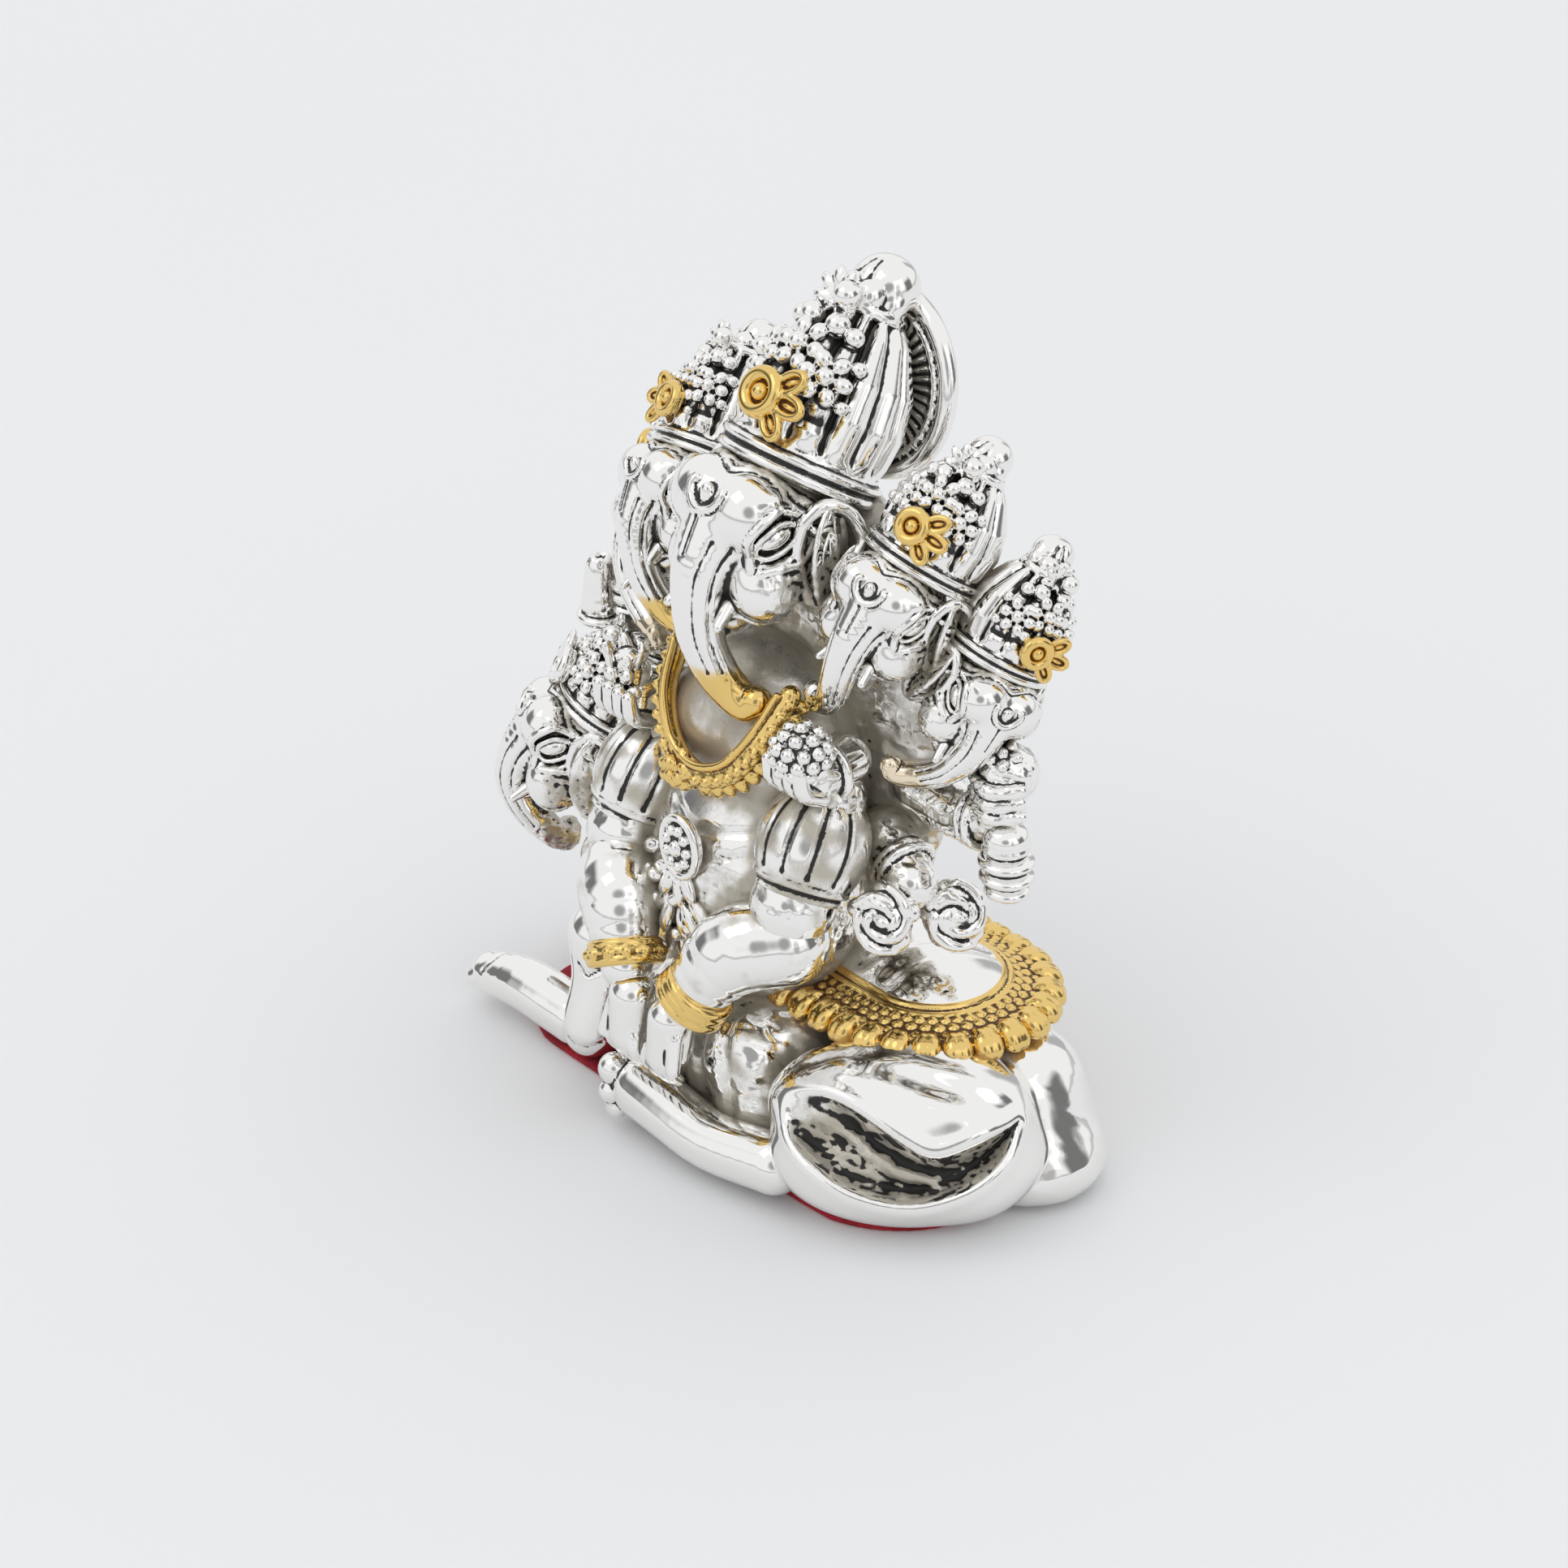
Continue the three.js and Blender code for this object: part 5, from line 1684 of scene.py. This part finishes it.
class IDOL_OT_arms(IdolMaker, bpy.types.Operator):
    """Sculpts the eight arms, their sleeves, bangles and hands"""

    bl_idname = "idol.arms"
    bl_label = "Arms"

    def make(self, silver, gold):
        for word, s in (("left", 1), ("right", -1)):
            spot = Spot(word + "_upper_arm")
            points = spot.chain((-s * 0.8, 3.5, 6.3, 4.8), (s * 0.2, -2.9, -5.7, 5.3))
            sculpt(word + "_upper_arm", limb_form(points, noise=0.08), silver, detail())
            spot = Spot(word + "_sleeve")
            sculpt(word + "_sleeve", sleeve_form(spot, s), silver, detail() * 0.9)
            spot = Spot(word + "_forearm")
            drop = 0 if s > 0 else 1.0
            points = spot.chain((s * 3.6, 2.6, 4.4 - drop, 5.4), (-s * 1.4, -1.9, 2.4, 5.4),
                                (-s * 5.9, -4.9, -5.4 + drop, 3.3))
            sculpt(word + "_forearm", limb_form(points), silver, detail())
            bangle = bangle_form(Spot(word + "_bangle"), (s * 0.466, 0.31, 0.83), s < 0)
            sculpt(word + "_bangle", bangle, gold, detail() * 0.7)
            sculpt(word + "_hand", hand_form(Spot(word + "_hand"), s), silver, detail() * 0.85)
            hand = raised_hand_form(Spot(word + "_raised_hand"), s)
            sculpt(word + "_raised_hand", hand, silver, detail() * 0.85, margin=2.8)
            spot = Spot(word + "_rear_arm")
            points = spot.chain((-s * 7.2, 0.3, -0.4, 3.9), (s * 0.8, 0.3, -1.3, 3.3),
                                (s * 6.8, 0.3, 1.6, 3.0))
            cuffs = [(spot.around(s * k, 0.2, -0.6), (1, 0, 0.2 * s), 3.3, 0.55) for k in (3.0, 4.3)]
            sculpt(word + "_rear_arm", limb_form(points, cuffs, 0.1), silver, detail())
            spot = Spot(word + "_lower_arm")
            reach = spot.size[0] / 2 - 3.2
            points = spot.chain((-s * reach, 1.2, 1.2, 3.7), (s * reach, -0.9, -1.6, 3.3))
            way = (1, -0.2 * s, -0.35 * s)
            cuffs = [(spot.around(s * k, 0, -0.4), way, 3.5, 0.5) for k in (0.4, 1.6)]
            sculpt(word + "_lower_arm", limb_form(points, cuffs, 0.1), silver, detail())


class IDOL_OT_held(IdolMaker, bpy.types.Operator):
    """Sculpts the fruit, buds and flowers that the hands hold"""

    bl_idname = "idol.held"
    bl_label = "Things held"

    def make(self, silver, gold):
        forms = {
            "berry_ball": berry_form,
            "flower_bunch": flower_bunch_form,
            "left_fruit": lambda spot: fruit_form(spot, 1),
            "right_fruit": lambda spot: fruit_form(spot, -1),
            "left_bud": bud_form,
            "right_bud": pointed_bud_form,
            "front_rose": lambda spot: rose_form(spot, (0.55, -0.8, 0.3)),
            "rear_rose": lambda spot: rose_form(spot, (0.8, -0.45, 0.4)),
        }
        for node, form in forms.items():
            sculpt(node, form(Spot(node)), silver, detail() * 0.8, margin=3.5)


class IDOL_OT_jewellery(IdolMaker, bpy.types.Operator):
    """Sculpts the necklace, the belly medallion and the garland of leaves"""

    bl_idname = "idol.jewellery"
    bl_label = "Jewellery"

    def make(self, silver, gold):
        sculpt("necklace", necklace_form(Spot("necklace")), gold, detail() * 0.75, margin=2.6)
        sculpt("belly_medallion", medallion_form(Spot("belly_medallion")), silver, detail() * 0.65)
        garland = garland_form(Spot("belly_garland"), torso_form(Spot("torso")))
        sculpt("belly_garland", garland, silver, detail() * 0.8, margin=7)


class IDOL_OT_pad(bpy.types.Operator):
    """Makes the velvet pad that the idol stands on"""

    bl_idname = "idol.pad"
    bl_label = "Velvet pad"

    def execute(self, context):
        spot = Spot("velvet_pad")
        pile = context.scene.idol_sizes.pad_pile / MM
        half = spot.size[1] / 2
        straight = spot.size[0] / 2 - half
        count = 180
        top = spot.size[2]
        rows = [(half - 4, 0.0), (half - pile, 0.0), (half, pile), (half - 0.02, top - pile * 0.8),
                (half - pile * 0.7, top - 0.05), (half - 1.6, top), (half - 5, top)]
        points, faces = [], []
        for reach, z in rows:
            for i in range(count):
                a = 2 * math.pi * i / count
                x = straight * (1 if math.cos(a) > 0 else -1) * min(1.0, abs(math.cos(a)) * 4)
                tuft = 1 - 0.004 * (0.5 + 0.5 * math.sin(61 * a + 3 * z))
                edge = np.array((x + reach * tuft * math.cos(a), reach * tuft * math.sin(a)))
                points.append((*(spot.middle[:2] + edge), z))
        last = (len(rows) - 1) * count
        for row in range(0, last, count):
            for i in range(count):
                j = (i + 1) % count
                faces.append((row + i, row + j, row + count + j, row + count + i))
        faces.append(tuple(reversed(range(count))))
        faces.append(tuple(range(last, last + count)))
        mesh = bpy.data.meshes.new("velvet_pad_cloth")
        mesh.from_pydata([tuple(c * MM for c in p) for p in points], [], faces)
        mesh.shade_smooth()
        pad = bpy.data.objects.new("velvet_pad_cloth", mesh)
        context.scene.collection.objects.link(pad)
        mesh.materials.append(finish("Red velvet"))
        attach(pad, "root")
        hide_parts("velvet_pad")
        return {"FINISHED"}


class IDOL_OT_hollows(bpy.types.Operator):
    """Finds the hollows between all the pieces, where dust has settled and shade is painted"""

    bl_idname = "idol.hollows"
    bl_label = "Hollows"

    def execute(self, context):
        shade_hollows()
        return {"FINISHED"}


class IDOL_OT_stage(bpy.types.Operator):
    """Sets the camera, the plain floor, the soft lights and the pale surroundings"""

    bl_idname = "idol.stage"
    bl_label = "Stage"

    def execute(self, context):
        scene = context.scene
        add_floor(scene)
        add_surroundings(scene)
        add_lamps(scene)
        add_camera(scene)
        scene.view_settings.view_transform = "Standard"
        return {"FINISHED"}


def add_floor(scene):
    bpy.ops.mesh.primitive_grid_add(x_subdivisions=8, y_subdivisions=8, size=6.0, location=(0, 0, 0))
    floor = bpy.context.object
    floor.name = "studio_floor"
    material = bpy.data.materials.new("Plain floor")
    material.use_nodes = True
    tree = material.node_tree
    shader = tree.nodes["Principled BSDF"]
    noise = node_at(tree, "ShaderNodeTexNoise", -700, 0)
    noise.inputs["Scale"].default_value = 9
    spot = node_at(tree, "ShaderNodeTexCoord", -900, 0).outputs["Object"]
    tree.links.new(spot, noise.inputs["Vector"])
    colour = scene.idol_colours.floor
    darker = tuple(c * 0.985 for c in colour) + (1.0,)
    mottled = mixed(tree, -400, 0, noise.outputs["Fac"], darker, opaque(colour))
    tree.links.new(mottled, shader.inputs["Base Color"])
    shader.inputs["Roughness"].default_value = 0.7
    shader.inputs["Specular IOR Level"].default_value = 0.2
    floor.data.materials.append(material)


def add_surroundings(scene):
    """White overhead and all round, with dark bands low down that the plating mirrors."""
    world = bpy.data.worlds.new("Studio")
    scene.world = world
    world.use_nodes = True
    tree = world.node_tree
    back = tree.nodes["Background"]
    path = node_at(tree, "ShaderNodeLightPath", -1200, 400)
    spot = node_at(tree, "ShaderNodeTexCoord", -1600, 0).outputs["Generated"]
    way = node_at(tree, "ShaderNodeSeparateXYZ", -1400, 0)
    tree.links.new(spot, way.inputs[0])
    x, y, z = way.outputs
    bearing = maths(tree, "ARCTAN2", -1200, 0, y, x)
    bands = None
    for turns, start, low, high, deep in ((2, 0.4, 0.74, 0.95, 0.8), (3, 2.3, 0.86, 0.99, 0.5)):
        wave = maths(tree, "SINE", -900, 0, maths(tree, "MULTIPLY_ADD", -1050, 0, bearing, turns, start))
        band = maths(tree, "MULTIPLY", -600, 0, between(tree, -750, 0, wave, low, high), deep)
        bands = band if bands is None else maths(tree, "MAXIMUM", -450, 0, bands, band)
    bands = maths(tree, "MULTIPLY", -300, 0, bands, between(tree, -750, -200, z, 0.62, 0.4))
    # the maker, mirrored as a soft dark patch
    facing = maths(tree, "MULTIPLY", -1200, -400, x, 0.60)
    facing = maths(tree, "MULTIPLY_ADD", -1050, -400, y, -0.66, facing)
    facing = maths(tree, "MULTIPLY_ADD", -900, -400, z, 0.45, facing)
    person = maths(tree, "MULTIPLY", -600, -400, between(tree, -750, -400, facing, 0.93, 0.99), 0.6)
    ring = maths(tree, "MULTIPLY", -600, -600, between(tree, -750, -600, z, 0.12, 0.03), 0.4)
    dim = maths(tree, "MAXIMUM", -300, -400, maths(tree, "MAXIMUM", -450, -300, bands, person), ring)
    bright = maths(tree, "MULTIPLY", -200, -200, maths(tree, "SUBTRACT", -300, -200, 1.0, dim), 0.93)
    mirrored = maths(tree, "MULTIPLY", -200, -100, bright, path.outputs["Is Glossy Ray"])
    plain = maths(tree, "SUBTRACT", -300, 200, 1.0, path.outputs["Is Glossy Ray"])
    strength = maths(tree, "MULTIPLY_ADD", -100, 0, plain, 0.95, mirrored)
    tree.links.new(strength, back.inputs["Strength"])
    back.inputs["Color"].default_value = (0.985, 0.99, 1.0, 1)


def add_lamps(scene):
    centre = (FRAME_LOW + FRAME_HIGH) / 2
    for name, offset, size, power in (
        ("key", (-0.25, -0.55, 0.85), 0.5, 0.5),
        ("fill", (0.8, -0.1, 0.5), 0.6, 0.25),
    ):
        data = bpy.data.lights.new(name, "AREA")
        data.shape = "SQUARE"
        data.size = size
        data.energy = power
        lamp = bpy.data.objects.new(name, data)
        scene.collection.objects.link(lamp)
        lamp.location = [c + o for c, o in zip(centre, offset)]
        aim = centre - lamp.location
        lamp.rotation_mode = "QUATERNION"
        lamp.rotation_quaternion = aim.to_track_quat("-Z", "Y")


SENSOR = 36  # millimetres
VIEW_BEARING, VIEW_LIFT = 49, 30  # degrees round from the front, and up
VIEW_TARGET = 0.39  # share of the height that the camera looks at
VIEW_ROOM = 1.731  # height of the view over the idol's height


def add_camera(scene):
    data = bpy.data.cameras.new("view")
    data.lens = scene.idol_sizes.lens
    data.sensor_width = SENSOR
    data.clip_start, data.clip_end = 0.01, 20
    camera = bpy.data.objects.new("view", data)
    scene.collection.objects.link(camera)
    height = FRAME_HIGH.z
    middle = (FRAME_LOW + FRAME_HIGH) / 2
    target = np.array((middle.x, middle.y + 0.0013, height * VIEW_TARGET))
    bearing, lift = math.radians(VIEW_BEARING), math.radians(VIEW_LIFT)
    level = math.cos(lift)
    back = np.array((math.sin(bearing) * level, -math.cos(bearing) * level, math.sin(lift)))
    reach = height * VIEW_ROOM / 2 / (SENSOR / 2 / data.lens)
    camera.location = target + back * reach
    camera.rotation_mode = "QUATERNION"
    camera.rotation_quaternion = Vector(-back).to_track_quat("-Z", "Y")
    scene.camera = camera


OPERATORS = (
    IDOL_OT_heads, IDOL_OT_crowns, IDOL_OT_crown_flowers, IDOL_OT_body, IDOL_OT_seat, IDOL_OT_legs,
    IDOL_OT_arms, IDOL_OT_held, IDOL_OT_jewellery, IDOL_OT_pad, IDOL_OT_hollows, IDOL_OT_stage,
)


class IDOL_PT_panel(bpy.types.Panel):
    bl_idname = "IDOL_PT_panel"
    bl_label = "Seated idol"
    bl_space_type = "VIEW_3D"
    bl_region_type = "UI"
    bl_category = "Idol"

    def draw(self, context):
        layout = self.layout
        for group in (context.scene.idol_sizes, context.scene.idol_colours):
            for name in type(group).__annotations__:
                layout.prop(group, name)
        for operator in OPERATORS:
            layout.operator(operator.bl_idname)


CLASSES = (IdolSizes, IdolColours, *OPERATORS, IDOL_PT_panel)


def register():
    for item in CLASSES:
        bpy.utils.register_class(item)
    bpy.types.Scene.idol_sizes = PointerProperty(type=IdolSizes)
    bpy.types.Scene.idol_colours = PointerProperty(type=IdolColours)


def unregister():
    del bpy.types.Scene.idol_colours
    del bpy.types.Scene.idol_sizes
    for item in reversed(CLASSES):
        bpy.utils.unregister_class(item)


def main():
    register()
    for operator in OPERATORS:
        group, name = operator.bl_idname.split(".")
        getattr(getattr(bpy.ops, group), name)()


if __name__ == "__main__":
    main()
